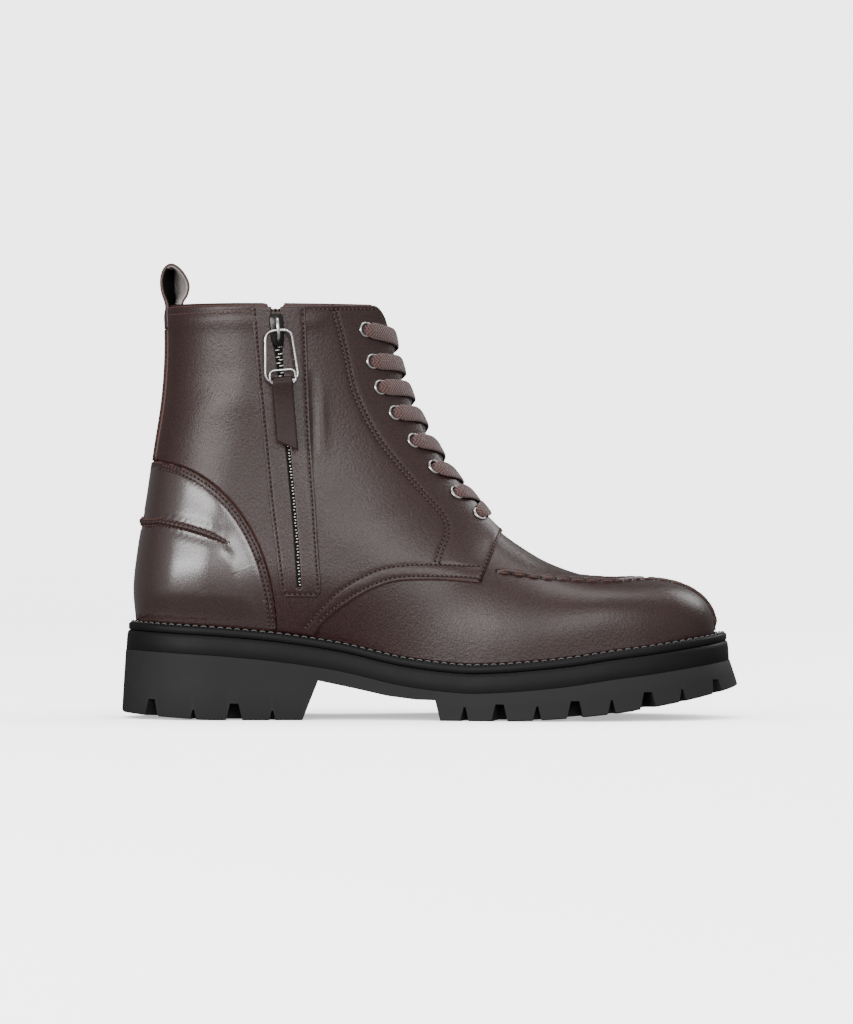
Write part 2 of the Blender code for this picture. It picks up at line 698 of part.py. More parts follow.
WELT_TOP = 0.5
MIDSOLE_TOP = WELT_TOP + WELT_THICK + GAP
OUTSOLE_TOP = MIDSOLE_TOP + MIDSOLE_THICK + GAP

outsole = plate(
    "outsole",
    [
        (fixed(OUTSOLE_LEDGE), under_feather(OUTSOLE_TOP)),
        (tread_out, lambda x, foot_x: tread_z(foot_x if foot_x < 100 else x)),
    ],
    RUBBER,
)
midsole = plate(
    "midsole",
    [
        (fixed(MIDSOLE_LEDGE[0]), under_feather(MIDSOLE_TOP)),
        (fixed(MIDSOLE_LEDGE[1]), under_feather(MIDSOLE_TOP + MIDSOLE_THICK)),
    ],
    BLACK_RUBBER,
)


def notch_prism(side, notch):
    u = row_of_x(notch.x)
    edge, square = rim(side, u, tread_out(notch.x))
    inward = min(notch.inward, 0.42 * abs(edge[1]) + 4)
    base = tread_z(notch.x)
    slope = (notch.floor_width - notch.top_width) / 2 / notch.depth
    low = base - 6.0
    wide = notch.floor_width / 2 + 6.0 * slope
    narrow, top = notch.top_width / 2, base + notch.depth
    outline = [(-wide, low), (wide, low), (narrow, top), (-narrow, top)]
    along = np.array([-square[1], square[0]])
    frame = Matrix(
        (
            (along[0], 0, square[0], edge[0]),
            (along[1], 0, square[1], edge[1]),
            (0, 1, 0, 0),
            (0, 0, 0, 1),
        )
    )
    return prism(outline, -inward, 6.0, frame)


def diamond_prism(x):
    middle = (feather_xy("medial", row_of_x(x))[1] + feather_xy("lateral", row_of_x(x))[1]) / 2
    corners = ((-DIAMOND_HALF, 0.0), (0.0, -DIAMOND_HALF), (DIAMOND_HALF, 0.0), (0.0, DIAMOND_HALF))
    outline = [(x + a, middle + b) for a, b in corners]
    return prism(outline, -4.0, tread_z(x) + DIAMOND_DEPTH)


tread_cutter = joined(
    "tread_cutter",
    [notch_prism(side, notch) for notch in NOTCHES for side in SIDES]
    + [diamond_prism(x) for x in TREAD_DIAMONDS],
    RUBBER,
    CUTTERS,
)
boolean(outsole, hide_cutter(tread_cutter), "DIFFERENCE")


def welt_ring():
    """The welt, a closed band between the midsole and the upper."""
    loops = []
    for out, drop in (
        (WELT_LEDGE, WELT_TOP),
        (WELT_LEDGE, WELT_TOP + WELT_THICK),
        (WELT_INNER, WELT_TOP + WELT_THICK),
        (WELT_INNER, WELT_TOP),
    ):
        loop = []
        for side, rows in (("medial", SOLE_ROWS[:-1]), ("lateral", SOLE_ROWS[:0:-1])):
            for u in rows:
                x, y = rim(side, u, out)[0]
                loop.append((x, y, feather_z(x) - drop))
        loops.append(loop)
    count = len(loops[0])
    points = [point for loop in loops for point in loop]
    faces = []
    for level in range(4):
        low = (level + 1) % 4
        for k in range(count):
            n = (k + 1) % count
            faces.append([level * count + k, level * count + n, low * count + n, low * count + k])
    return place("welt", mesh_of("welt", points, faces), BLACK_RUBBER)


welt_ring()
INSOLE_OUT = -(UPPER_WALL + 2.3)
plate(
    "insole",
    [(fixed(INSOLE_OUT), under_feather(-GAP - INSOLE_THICK)), (fixed(INSOLE_OUT), under_feather(-GAP))],
    LINING,
    rows=[u for u in SOLE_ROWS if u == 0 or u == HEEL_ROW or 0.4 < u < 14.7],
)


# Upper

UPPER_ROWS = [0, 0.5, 1, 1.5, 2, 2.5, 3, 3.5, 4, 5, 6, 7, 8, 8.15, 8.4, 8.8, 9.4, 10, 10.5, 11, 11.5, 12.25]
UPPER_ROWS += [13, 13.5, 14, 14.3, 14.65, 15, 15.5, 16, 17, 18, 19, 20, 20.7, 21.3, 21.75, 22]
UPPER_COLUMNS = [0, 0.1, 0.21, 0.33, 0.45, 0.57, 0.69, 0.8, 0.89, 0.95, 0.98, 1]
FOOT_CLEARANCE = 0.9


def lattice(side, u):
    """The lengths along section u at which the upper and everything laid on it have a corner."""
    first = throat_edge(u)
    return first + (section_lengths(side, u) - first) * np.array(UPPER_COLUMNS)


def laid(side, u, start=0.0, stop=math.inf):
    """A row of an overlay on section u between two lengths, over the upper's own corners."""
    return u, np.clip(lattice(side, u), start, stop)


# Extra rows where the slanting edges of the overlays cross the upper's columns
EDGE_ROWS = [9.7, 11.15, 15.25, 15.75, 16.5, 17.5, 18.3, 18.5, 18.65, 18.75]


def rows_between(first, last):
    inner = [u for u in sorted(UPPER_ROWS + EDGE_ROWS) if first + 0.04 < u < last - 0.04]
    return [first] + inner + [last]


upper = lofted_wall(
    "upper", [(side, [laid(side, u) for u in UPPER_ROWS]) for side in SIDES], -UPPER_WALL, 0.0, LEATHER
)

TONGUE_ROWS = [7.2, 7.8, 8.4, 9.2, 10.4, 12, 14, 16, 17.5, 19, 20.4, 21.6]


def tongue_row(u):
    half = 18.0 + 8.0 * float(smoothstep(8.0, 14.0, u))
    return u, np.linspace(0.0, half, 5)


lofted_wall(
    "tongue",
    [(side, [tongue_row(u) for u in TONGUE_ROWS]) for side in SIDES],
    -TONGUE_DROP - TONGUE_THICK,
    -TONGUE_DROP,
    LEATHER,
)


# Overlays on the upper


def foot_stop(side, u):
    """The end of section u, short of the welt where it ends on the feather edge."""
    return section_lengths(side, u) - (FOOT_CLEARANCE if u < HEEL_ROW else 0.0)


def rear_stop(side, u):
    """Where the quarter meets the counter or the backstay on section u."""
    return min(length_to(side, u, test) for test in (in_counter, in_backstay)) - EDGE_GAP


def fine_spots(spots, parts):
    """The same line with each stretch in several parts."""
    fine = []
    for a, b in zip(spots, spots[1:]):
        for share in np.arange(parts) / parts:
            fine.append(Spot(a.x + (b.x - a.x) * share, a.z + (b.z - a.z) * share))
    return fine + [spots[-1]]


QUARTER_FIRST = 8.03
QUARTER_LAST = 21.95


def quarter_outline(side):
    """The quarter's edge in (u, length): throat, collar, backstay, counter, welt, vamp and tab."""
    rows = rows_between(QUARTER_FIRST, QUARTER_LAST)
    lower = [locate(side, spot.x, spot.z) for spot in fine_spots(QUARTER_EDGE[:-1], 3)]
    lower = [(u, w * section_lengths(side, u)) for u, w in lower]
    lower = [(u, length) for u, length in lower if length < foot_stop(side, u) - 1.5 and u > QUARTER_FIRST]
    corner = length_to(side, QUARTER_FIRST, below_quarter_edge)
    rear = [u for u in rows[::-1] if u > lower[0][0] + 0.02]
    collar = [x for x in lattice(side, QUARTER_LAST) if throat_edge(QUARTER_LAST) + 1.5 < x]
    collar = [x for x in collar if x < rear_stop(side, QUARTER_LAST) - 1.5]
    front = [x for x in lattice(side, QUARTER_FIRST) if throat_edge(QUARTER_FIRST) + 1.5 < x < corner - 1.5]
    return (
        [(u, throat_edge(u)) for u in rows]
        + [(QUARTER_LAST, length) for length in sorted(collar)]
        + [(u, min(rear_stop(side, u), foot_stop(side, u))) for u in rear]
        + [(lower[0][0] - 0.03, foot_stop(side, lower[0][0]))]
        + lower
        + [(QUARTER_FIRST, length) for length in [corner] + sorted(front)[::-1]]
    )


def quarter_spots(side, outline):
    """The upper's own corners that lie well inside the outline."""
    ring = [Vector((ROW_SPAN * u, length)) for u, length in outline]
    spots = []
    for u in UPPER_ROWS:
        for length in lattice(side, u):
            spot = Vector((ROW_SPAN * u, length))
            turns, near = 0, math.inf
            for a, b in zip(ring, ring[1:] + ring[:1]):
                share = min(max((spot - a).dot(b - a) / max((b - a).length_squared, 1e-9), 0), 1)
                near = min(near, (spot - a - (b - a) * share).length)
                if (a.x > spot.x) != (b.x > spot.x):
                    turns += spot.y < a.y + (b.y - a.y) * (spot.x - a.x) / (b.x - a.x)
            if turns % 2 and near > 1.6:
                spots.append((u, length))
    return spots


quarters = {}
for side in SIDES:
    quarter_ring = quarter_outline(side)
    quarters[side] = cut_wall(
        "quarter_" + side,
        side,
        quarter_ring,
        quarter_spots(side, quarter_ring),
        LAID_GAP,
        LAID_GAP + QUARTER_THICK,
        LEATHER,
    )

BACK_ROWS = np.linspace(HEEL_ROW, COLLAR_ROW, 701)
BACK_Z = low_line("medial", BACK_ROWS)[2]


def row_of_back(z):
    return float(np.interp(z, BACK_Z, BACK_ROWS))


COUNTER_TOP_ROW = row_of_back(COUNTER_CENTRE.z + COUNTER_REACH.z)
COUNTER_FOOT_ROW = row_of_x(COUNTER_CENTRE.x + COUNTER_REACH.x)
COUNTER_ROWS = rows_between(COUNTER_FOOT_ROW + 0.1, COUNTER_TOP_ROW - 0.03)
BACKSTAY_ROWS = rows_between(COUNTER_TOP_ROW + 0.12, row_of_back(LOOP_TOP_OF_BACKSTAY))
lofted_wall(
    "counter",
    [
        (side, [laid(side, u, length_to(side, u, in_counter), foot_stop(side, u)) for u in COUNTER_ROWS])
        for side in SIDES
    ],
    LAID_GAP,
    LAID_GAP + COUNTER_THICK,
    LEATHER,
)
lofted_wall(
    "backstay",
    [(side, [laid(side, u, length_to(side, u, in_backstay)) for u in BACKSTAY_ROWS]) for side in SIDES],
    LAID_GAP,
    LAID_GAP + BACKSTAY_THICK,
    LEATHER,
)


def drape(spots, lift):
    """Points and normals on the last at a list of (side, u, w)."""
    return [lifted(*spot, lift) for spot in spots], [normal_at(*spot) for spot in spots]


def apron_spots(count):
    """The seam round the apron, from the medial side round the toe to the lateral side."""
    spots = []
    reach = APRON_FRONT - APRON_BACK
    last_turn = math.acos(((APRON_SEAM_END - APRON_BACK) / reach) ** (APRON_SQUARENESS / 2))
    for turn in np.linspace(-last_turn, last_turn, count):
        side = "medial" if turn < 0 else "lateral"
        x = APRON_BACK + reach * math.cos(turn) ** (2 / APRON_SQUARENESS)
        middle = float(np.interp(x, [30, 100], [-0.5, -3.4]))
        y = middle + math.copysign(APRON_HALF * abs(math.sin(turn)) ** (2 / APRON_SQUARENESS), turn)
        spots.append((side, *locate(side, x, y, PLAN_VIEW)))
    return spots


APRON_COUNT = 31
apron_centres, apron_normals = drape(apron_spots(APRON_COUNT), LAID_GAP + 0.2)
sweep("apron_seam", apron_centres, apron_normals, [ridge_outline(1.8, 1.7)] * APRON_COUNT, LEATHER)

TOE_SEAM_SHARES = np.linspace(0.14, 0.965, 12)
toe_centres, toe_normals = drape([("medial", 0.0, w) for w in TOE_SEAM_SHARES], GAP)
sweep("toe_seam", toe_centres, toe_normals, [ridge_outline(1.6, 1.6)] * len(toe_centres), LEATHER)


def heel_seam_spots():
    shown = [locate("medial", *spot) for spot in HEEL_SEAM]
    back = (row_of_back(HEEL_SEAM_BACK_Z), 1.0)
    spots = []
    for (u0, w0), (u1, w1) in zip(shown, shown[1:] + [back]):
        spots += [(u0 + (u1 - u0) * share, w0 + (w1 - w0) * share) for share in (0, 0.25, 0.5, 0.75)]
    medial = [("medial", u, w) for u, w in spots]
    return medial + [("medial", *back)] + [("lateral", u, w) for _, u, w in medial[::-1]]


heel_spots = heel_seam_spots()
heel_centres, heel_normals = drape(heel_spots, LAID_GAP + COUNTER_THICK + GAP)
HEEL_RISES = [0.3 + 1.3 * min(1.0, 0.12 * min(k, len(heel_spots) - 1 - k)) for k in range(len(heel_spots))]
sweep("heel_seam", heel_centres, heel_normals, [ridge_outline(1.9, rise) for rise in HEEL_RISES], LEATHER)

loop_rows = []
for row in PULL_LOOP:
    loop_rows.append(
        [
            (row.x + row.edge_forward * share**2, row.half * share, row.z)
            for share in (-1.0, -0.5, 0.0, 0.5, 1.0)
        ]
    )
shell("pull_loop", loop_rows, LOOP_THICK, LEATHER)


# Eyelets, laces and their holes


def spin_ring(name, frame, finish):
    """A flanged eyelet turned about the frame's third axis."""
    profile = [(EYELET_INNER, 0.0), (EYELET_OUTER, 0.0)]
    profile += [(EYELET_OUTER - 0.35, EYELET_RISE), (EYELET_INNER + 0.2, EYELET_RISE)]
    count = 8
    points, faces = [], []
    for k in range(count):
        turn = 2 * math.pi * k / count
        points += [frame @ Vector((r * math.cos(turn), r * math.sin(turn), h)) for r, h in profile]
        for j in range(4):
            a, b = 4 * k + j, 4 * k + (j + 1) % 4
            faces.append([a, b, (b + 4) % (4 * count), (a + 4) % (4 * count)])
    return place(name, mesh_of(name, points, faces), finish)


def surface_frame(side, u, w, lift, ahead=None):
    """Axes on the last: third along the normal, second along ahead (or up)."""
    up = Vector(normal_at(side, u, w))
    second = Vector(ahead if ahead is not None else (0.0, 0.0, 1.0))
    second = (second - up * second.dot(up)).normalized()
    first = second.cross(up)
    origin = Vector(lifted(side, u, w, lift))
    frame = Matrix((first, second, up)).transposed().to_4x4()
    frame.translation = origin
    return frame


def seated(frame, radius, tree):
    """The frame moved along its third axis until a disc about it just clears the surface below."""
    up = frame.col[2].to_3d()
    heights = []
    for a, b in [(0.0, 0.0)] + ring_outline(radius, 8):
        above = frame @ Vector((a, b, 6.0))
        hit = tree.ray_cast((above - MIDDLE) * MM, -up)[3]
        if hit is not None:
            heights.append(6.0 - hit / MM)
    return frame @ Matrix.Translation((0, 0, max(heights) + GAP))


EYELET_SPOTS = [locate("medial", *spot) for spot in EYELETS]
EYELET_LENGTHS = [w * section_lengths("medial", u) for u, w in EYELET_SPOTS]
hole_solids = []
quarter_trees = {
    side: BVHTree.FromPolygons(
        [corner.co for corner in quarters[side].data.vertices],
        [face.vertices[:] for face in quarters[side].data.polygons],
    )
    for side in SIDES
}
for index, (u, length) in enumerate(zip([spot[0] for spot in EYELET_SPOTS], EYELET_LENGTHS), start=1):
    for side in SIDES:
        frame = surface_frame(side, u, length / section_lengths(side, u), ON_QUARTER)
        frame = seated(frame, EYELET_OUTER, quarter_trees[side])
        spin_ring(f"eyelet_{side}_{index}", frame, STEEL)
        hole_solids.append(prism(ring_outline(EYELET_INNER, 8), -8.0, 4.0, frame))


def zip_at(z):
    """The zip's columns at one height."""
    heights = [row.z for row in ZIP][::-1]
    return {
        name: float(np.interp(z, heights, [getattr(row, name) for row in ZIP][::-1]))
        for name in ("back", "centre", "front", "slit")
    }


notch_row = zip_at(ZIP[0].z)
collar_z = LAST[-1].top_z
notch_outline = [
    (notch_row["centre"] - notch_row["slit"], collar_z + 3),
    (notch_row["centre"] - notch_row["slit"], collar_z - 1),
    (notch_row["centre"] - 2.0, collar_z - ZIP_NOTCH_DEPTH),
    (notch_row["centre"] + 2.0, collar_z - ZIP_NOTCH_DEPTH),
    (notch_row["centre"] + notch_row["slit"], collar_z - 1),
    (notch_row["centre"] + notch_row["slit"], collar_z + 3),
]
to_side = Matrix(((1, 0, 0, 0), (0, 0, 1, 0), (0, 1, 0, 0), (0, 0, 0, 1)))
hole_solids.append(prism(notch_outline, -60.0, -20.0, to_side))
hole_cutter = hide_cutter(joined("hole_cutter", hole_solids, LEATHER, CUTTERS))
boolean(upper, hole_cutter, "DIFFERENCE")
for side in SIDES:
    boolean(quarters[side], hole_cutter, "DIFFERENCE")


def lace_strip(name, side, first, second, home):
    """A flat lace over one facing, from its eyelet across the centre towards the next one down."""
    far = SIDES[1 - SIDES.index(side)]
    (u0, _), (u1, _) = EYELET_SPOTS[first], EYELET_SPOTS[second]
    s0, s1 = EYELET_LENGTHS[first], EYELET_LENGTHS[second]
    stop = LACE_PAST_CENTRE if first != second else s1 - EYELET_OUTER - 0.6
    centres, normals = [], []
    for s in np.linspace(-(s0 - EYELET_OUTER - 0.6), stop, 6 if first != second else 7):
        u = u0 + (u1 - u0) * (s + s0) / (s0 + s1)
        on = side if s <= 0 else far
        sink = 0.9 * max(s, 0) / LACE_PAST_CENTRE if first != second else 0.0
        w = abs(s) / section_lengths(on, u)
        centres.append(lifted(on, u, w, ON_QUARTER + 0.4 - sink))
        normals.append(normal_at(on, u, max(w, 0.02)))
    outlines = [strap_outline(LACE_WIDTH / 2, LACE_THICK)] * len(centres)
    return sweep(name, centres, normals, outlines, CORD, home)


for index in range(len(EYELETS) - 1):
    lace = lace_strip(f"lace_{index + 1}", "medial", index, index + 1, None)
    under = lace_strip(f"lace_{index + 1}_under", "lateral", index, index + 1, CUTTERS)
    boolean(lace, hide_cutter(under), "UNION")
last_eyelet = len(EYELETS) - 1
boolean(lace, hide_cutter(lace_strip("lace_bar", "medial", last_eyelet, last_eyelet, CUTTERS)), "UNION")


# Zip


def on_medial(x, z, lift):
    u, w = locate("medial", x, z)
    return lifted("medial", u, w, lift)


ON_FACING = ON_QUARTER + GAP + 0.3
facing_points, facing_faces = [], []
facing_heights = [206.3, 200, 194, 188, 182, 174, 166, 156, 146, 136, 124, 112, 100, 88, 77, 67]
facing_heights.append(ZIP_FACING_FOOT)
for z in facing_heights:
    row = zip_at(z)
    inner = (row["centre"] - row["slit"], row["centre"] + row["slit"])
    for low, high in ((row["back"], inner[0]), (inner[1], row["front"])):
        for x in (low, (low + high) / 2, high):
            facing_points.append(on_medial(x, z, ON_FACING))
for i in range(len(facing_heights) - 1):
    for j in range(5):
        if j != 2 or i == len(facing_heights) - 2:
            a = 6 * i + j
            facing_faces.append([a, a + 6, a + 7, a + 1])
zip_facing = place("zip_facing", mesh_of("zip_facing", facing_points, facing_faces, closed=False), LEATHER)
facing_wall = zip_facing.modifiers.new("wall", "SOLIDIFY")
facing_wall.thickness = FACING_THICK * MM
facing_wall.offset = 1.0

chain_spots = [
    ("medial", *locate("medial", zip_at(z)["centre"], z))
    for z in np.linspace(ZIP_CHAIN_TOP, ZIP[-1].z + 0.5, 14)
]
chain_centres, chain_normals = drape(chain_spots, ON_FACING)
chain_outlines = [strap_outline(ZIP_CHAIN_HALF, 0.9)] * len(chain_spots)
sweep("zip_chain", chain_centres, chain_normals, chain_outlines, STEEL)

pivot_u, pivot_w = locate("medial", *ZIP_PIVOT)
zip_up = on_medial(zip_at(205)["centre"], 205, 0) - on_medial(zip_at(175)["centre"], 175, 0)
SLIDER_BASE = ON_FACING + FACING_THICK + GAP
zip_frame = surface_frame("medial", pivot_u, pivot_w, SLIDER_BASE, zip_up)
PIVOT_RISE = SLIDER_RISE + (BAIL_RISE - BAIL_BAR) / 2


def zip_solid(name, solids, finish, home=None):
    return joined(name, solids, finish, home or BOOT)


def in_zip(*moves):
    """The zip's frame, with a shift in millimetres along its axes."""
    return zip_frame @ Matrix.Translation(Vector(moves))


# Outlines across the zip (a) and along it (b), raised off the boot; and side profiles swept across
SIDEWAYS = Matrix(((0, 0, 1, 0), (1, 0, 0, 0), (0, 1, 0, 0), (0, 0, 0, 1)))
slider = zip_solid(
    "zip_slider",
    [
        prism(
            [
                (-SLIDER_WIDTH * 0.36, -SLIDER_HEIGHT * 0.45), (SLIDER_WIDTH * 0.36, -SLIDER_HEIGHT * 0.45),
                (SLIDER_WIDTH / 2, SLIDER_HEIGHT * 0.2), (SLIDER_WIDTH / 2, SLIDER_HEIGHT * 0.55),
                (-SLIDER_WIDTH / 2, SLIDER_HEIGHT * 0.55), (-SLIDER_WIDTH / 2, SLIDER_HEIGHT * 0.2),
            ],
            0.0,
            SLIDER_RISE,
            zip_frame,
        )
    ],
    STEEL,
)
bail = zip_solid(
    "zip_bail",
    [
        prism(
            box_outline(-BAIL_HEIGHT / 2, SLIDER_RISE - 0.6, BAIL_HEIGHT / 2, SLIDER_RISE + BAIL_RISE),
            -BAIL_WIDTH / 2,
            BAIL_WIDTH / 2,
            zip_frame @ SIDEWAYS,
        )
    ],
    STEEL,
    CUTTERS,
)
bail_hole = zip_solid(
    "zip_bail_hole",
    [
        prism(
            box_outline(
                -BAIL_HEIGHT / 2 + BAIL_BAR,
                SLIDER_RISE,
                BAIL_HEIGHT / 2 - BAIL_BAR,
                SLIDER_RISE + BAIL_RISE - BAIL_BAR,
            ),
            -BAIL_WIDTH,
            BAIL_WIDTH,
            zip_frame @ SIDEWAYS,
        )
    ],
    STEEL,
    CUTTERS,
)
boolean(slider, hide_cutter(bail), "UNION")
boolean(slider, hide_cutter(bail_hole), "DIFFERENCE")

# The pull hangs from the bail and turns about the ring's top bar
pull_pivot = bpy.data.objects.new("zip_pull_pivot", None)
BOOT.objects.link(pull_pivot)
pull_frame = in_zip(0, 0, PIVOT_RISE)
pull_pivot.location = (pull_frame.translation - MIDDLE) * MM

ring_path = [(-RING_TOP_HALF + 1.5, 0.0), (RING_TOP_HALF - 1.5, 0.0), (RING_TOP_HALF, -2.0)]
ring_path += [(RING_FOOT_HALF, -RING_DROP + 1.5), (RING_FOOT_HALF - 1.2, -RING_DROP)]
ring_path += [(-RING_FOOT_HALF + 1.2, -RING_DROP), (-RING_FOOT_HALF, -RING_DROP + 1.5)]
ring_path.append((-RING_TOP_HALF, -2.0))
RING_SIDES = 8
ring_points, ring_faces = [], []
for k, (a, b) in enumerate(ring_path):
    before, after = Vector(ring_path[k - 1]), Vector(ring_path[(k + 1) % len(ring_path)])
    into, onward = (Vector((a, b)) - before).normalized(), (after - Vector((a, b))).normalized()
    mean = (into + onward).normalized()
    miter = Vector((mean.y, -mean.x)) / max(mean.dot(into), 0.5)
    for j in range(RING_SIDES):
        turn = 2 * math.pi * j / RING_SIDES
        spread = RING_WIRE * math.cos(turn)
        spot = Vector((a + miter.x * spread, b + miter.y * spread, RING_WIRE * math.sin(turn)))
        ring_points.append(pull_frame @ spot)
        p, q = RING_SIDES * k + j, RING_SIDES * k + (j + 1) % RING_SIDES
        total = RING_SIDES * len(ring_path)
        ring_faces.append([p, q, (q + RING_SIDES) % total, (p + RING_SIDES) % total])
zip_ring = zip_solid("zip_ring", [(ring_points, ring_faces)], STEEL)

fold_frame = in_zip(0, -RING_DROP, PIVOT_RISE)
half_tab = TAB_WIDTH / 2
zip_tab = zip_solid(
    "zip_tab",
    [
        prism(
            [
                (-half_tab, 0.0), (half_tab, 0.0), (half_tab, -TAB_LENGTH),
                (half_tab - 3.5, -TAB_LENGTH), (-half_tab, -TAB_LENGTH + TAB_SLANT),
            ],
            -TAB_THICK / 2,
            TAB_THICK / 2,
            fold_frame,
        )
    ],
    LEATHER,
)
across_tab = fold_frame @ SIDEWAYS
fold_solid = prism(ring_outline(TAB_FOLD, 14), -half_tab + 0.02, half_tab - 0.02, across_tab)
fold = zip_solid("zip_tab_fold", [fold_solid], LEATHER, CUTTERS)
fold_hole_solid = prism(ring_outline(RING_WIRE + 0.35, 12), -TAB_WIDTH, TAB_WIDTH, across_tab)
fold_hole = zip_solid("zip_tab_hole", [fold_hole_solid], LEATHER, CUTTERS)
boolean(zip_tab, hide_cutter(fold), "UNION")
boolean(zip_tab, hide_cutter(fold_hole), "DIFFERENCE")
for piece in (zip_ring, zip_tab):
    piece.parent = pull_pivot
    piece.matrix_parent_inverse = Matrix.Translation(pull_pivot.location).inverted()
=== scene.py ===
import json
import math
from collections import namedtuple

import bmesh
import bpy
import numpy as np
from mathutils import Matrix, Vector
from mathutils.geometry import delaunay_2d_cdt
from mathutils.kdtree import KDTree


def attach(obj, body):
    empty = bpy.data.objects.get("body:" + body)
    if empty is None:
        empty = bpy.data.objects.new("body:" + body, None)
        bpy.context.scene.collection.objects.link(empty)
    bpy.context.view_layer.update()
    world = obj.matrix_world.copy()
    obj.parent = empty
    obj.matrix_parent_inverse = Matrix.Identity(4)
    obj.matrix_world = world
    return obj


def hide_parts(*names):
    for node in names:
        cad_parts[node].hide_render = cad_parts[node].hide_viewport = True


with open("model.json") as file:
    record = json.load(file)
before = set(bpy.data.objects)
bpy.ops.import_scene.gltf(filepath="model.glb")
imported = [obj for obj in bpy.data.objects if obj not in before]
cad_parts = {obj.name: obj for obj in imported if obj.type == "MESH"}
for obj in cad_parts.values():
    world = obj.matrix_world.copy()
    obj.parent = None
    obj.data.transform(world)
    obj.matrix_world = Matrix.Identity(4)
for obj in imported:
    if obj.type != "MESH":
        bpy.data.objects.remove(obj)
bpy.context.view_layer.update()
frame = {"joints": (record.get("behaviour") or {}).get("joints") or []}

# The boot's own frame: millimetres in the tables, +X to the toe, -Y the inner side with the zip.
# MIDDLE is the spot of the tables that lies at the origin of the shared frame.

MM = 0.001
SIDES = ("medial", "lateral")
OUTWARD = {"medial": -1.0, "lateral": 1.0}
MIDDLE = np.array([-0.25, 1.65, 0.0])
UPPER_WALL = 2.2
ON_UPPER = 0.04
QUARTER_TOP = 1.7
COUNTER_TOP = 2.5
BACKSTAY_TOP = 2.3
BACKSTAY_HALF = 9.5
TONGUE_DROP, TONGUE_THICK = 4.1, 2.0
THROAT_HALF, THROAT_FLARE = 8.0, 1.5
CORNER_ROW, CORNER_CUT = 20.7, 12.0

Spot = namedtuple("Spot", "x z")
Section = namedtuple(
    "Section",
    "top_x top_y top_z low_x low_z flank_medial flank_lateral bulge_medial bulge_lateral fullness depth",
)
LAST = [
    Section(104.0, -3.5, 69.3, 143.4, 42.7, 4.0, -4.0, 0.0, 0.0, 2.4, 52),
    Section(104.0, -3.5, 69.3, 138.5, 41.9, 21.0, 13.5, 0.8, 0.8, 2.5, 52),
    Section(103.5, -3.5, 69.3, 127.0, 40.2, 33.0, 26.5, 1.4, 1.4, 2.7, 52),
    Section(100.0, -3.3, 69.4, 110.0, 37.6, 41.0, 36.5, 1.8, 1.8, 3.0, 52),
    Section(90.0, -2.8, 69.9, 90.0, 35.0, 45.2, 43.3, 2.0, 2.0, 3.2, 52),
    Section(75.0, -2.2, 72.4, 69.0, 31.8, 46.8, 47.6, 2.4, 2.4, 2.9, 52),
    Section(59.0, -1.6, 78.3, 48.0, 29.6, 46.0, 50.0, 3.0, 3.0, 2.5, 52),
    Section(46.5, -1.0, 85.6, 31.0, 28.4, 43.2, 50.2, 4.2, 3.6, 2.3, 52),
    Section(36.2, -0.6, 93.0, 14.0, 28.3, 39.0, 49.0, 6.0, 4.6, 2.2, 54),
    Section(31.0, -0.3, 99.0, -14.0, 31.7, 32.8, 45.0, 8.5, 5.5, 2.1, 57),
    Section(26.5, 0.0, 104.8, -44.0, 38.6, 29.0, 39.5, 11.0, 7.0, 2.0, 60),
    Section(22.0, 0.0, 110.2, -74.0, 43.3, 30.0, 35.5, 11.0, 9.0, 2.0, 63),
    Section(18.0, 0.0, 115.0, -103.0, 46.2, 31.2, 33.2, 11.0, 10.0, 2.0, 67),
    Section(14.8, 0.0, 118.8, -126.0, 47.7, 31.5, 32.0, 11.0, 11.0, 2.0, 70),
    Section(12.2, 0.0, 122.0, -140.5, 48.5, 31.5, 31.5, 11.0, 11.0, 2.0, 73),
    Section(9.0, 0.0, 126.4, -146.0, 48.8, 31.5, 31.5, 11.0, 11.0, 2.0, 75),
    Section(3.5, 0.0, 135.3, -147.2, 66.0, 31.5, 31.5, 11.0, 11.0, 2.0, 78),
    Section(-3.5, 0.0, 148.0, -144.8, 87.0, 31.5, 31.5, 11.0, 11.0, 2.0, 80),
    Section(-9.8, 0.0, 161.0, -140.8, 110.0, 31.5, 31.5, 11.0, 11.0, 2.0, 80),
    Section(-14.6, 0.0, 174.5, -137.2, 135.0, 31.5, 31.5, 11.0, 11.0, 2.0, 80),
    Section(-18.0, 0.0, 187.0, -133.4, 160.0, 31.5, 31.5, 11.0, 11.0, 2.0, 80),
    Section(-20.0, 0.0, 197.5, -131.8, 184.0, 31.5, 31.5, 11.0, 11.0, 2.0, 80),
    Section(-21.0, 0.0, 207.5, -132.2, 207.5, 31.5, 31.5, 11.0, 11.0, 2.0, 80),
]
Girth = namedtuple("Girth", "z medial lateral")
GIRTHS = [
    Girth(40, 37.0, 40.0),
    Girth(70, 36.5, 38.5),
    Girth(100, 35.5, 36.8),
    Girth(130, 35.2, 36.0),
    Girth(160, 36.2, 36.8),
    Girth(190, 37.4, 38.0),
    Girth(220, 38.4, 39.0),
]
GIRTH_RISE = 34.0
FOOT_TO_SHAFT_ROWS = (7.0, 12.0)
THROAT_ROW, HEEL_ROW, COLLAR_ROW = 8, 15, len(LAST) - 1
TOE_FAN_ROWS = (2.0, 5.0)
HEEL_ROUND, COLLAR_ROUND = 38.0, 48.0


# The last: the same sections as the solids, drawn finely


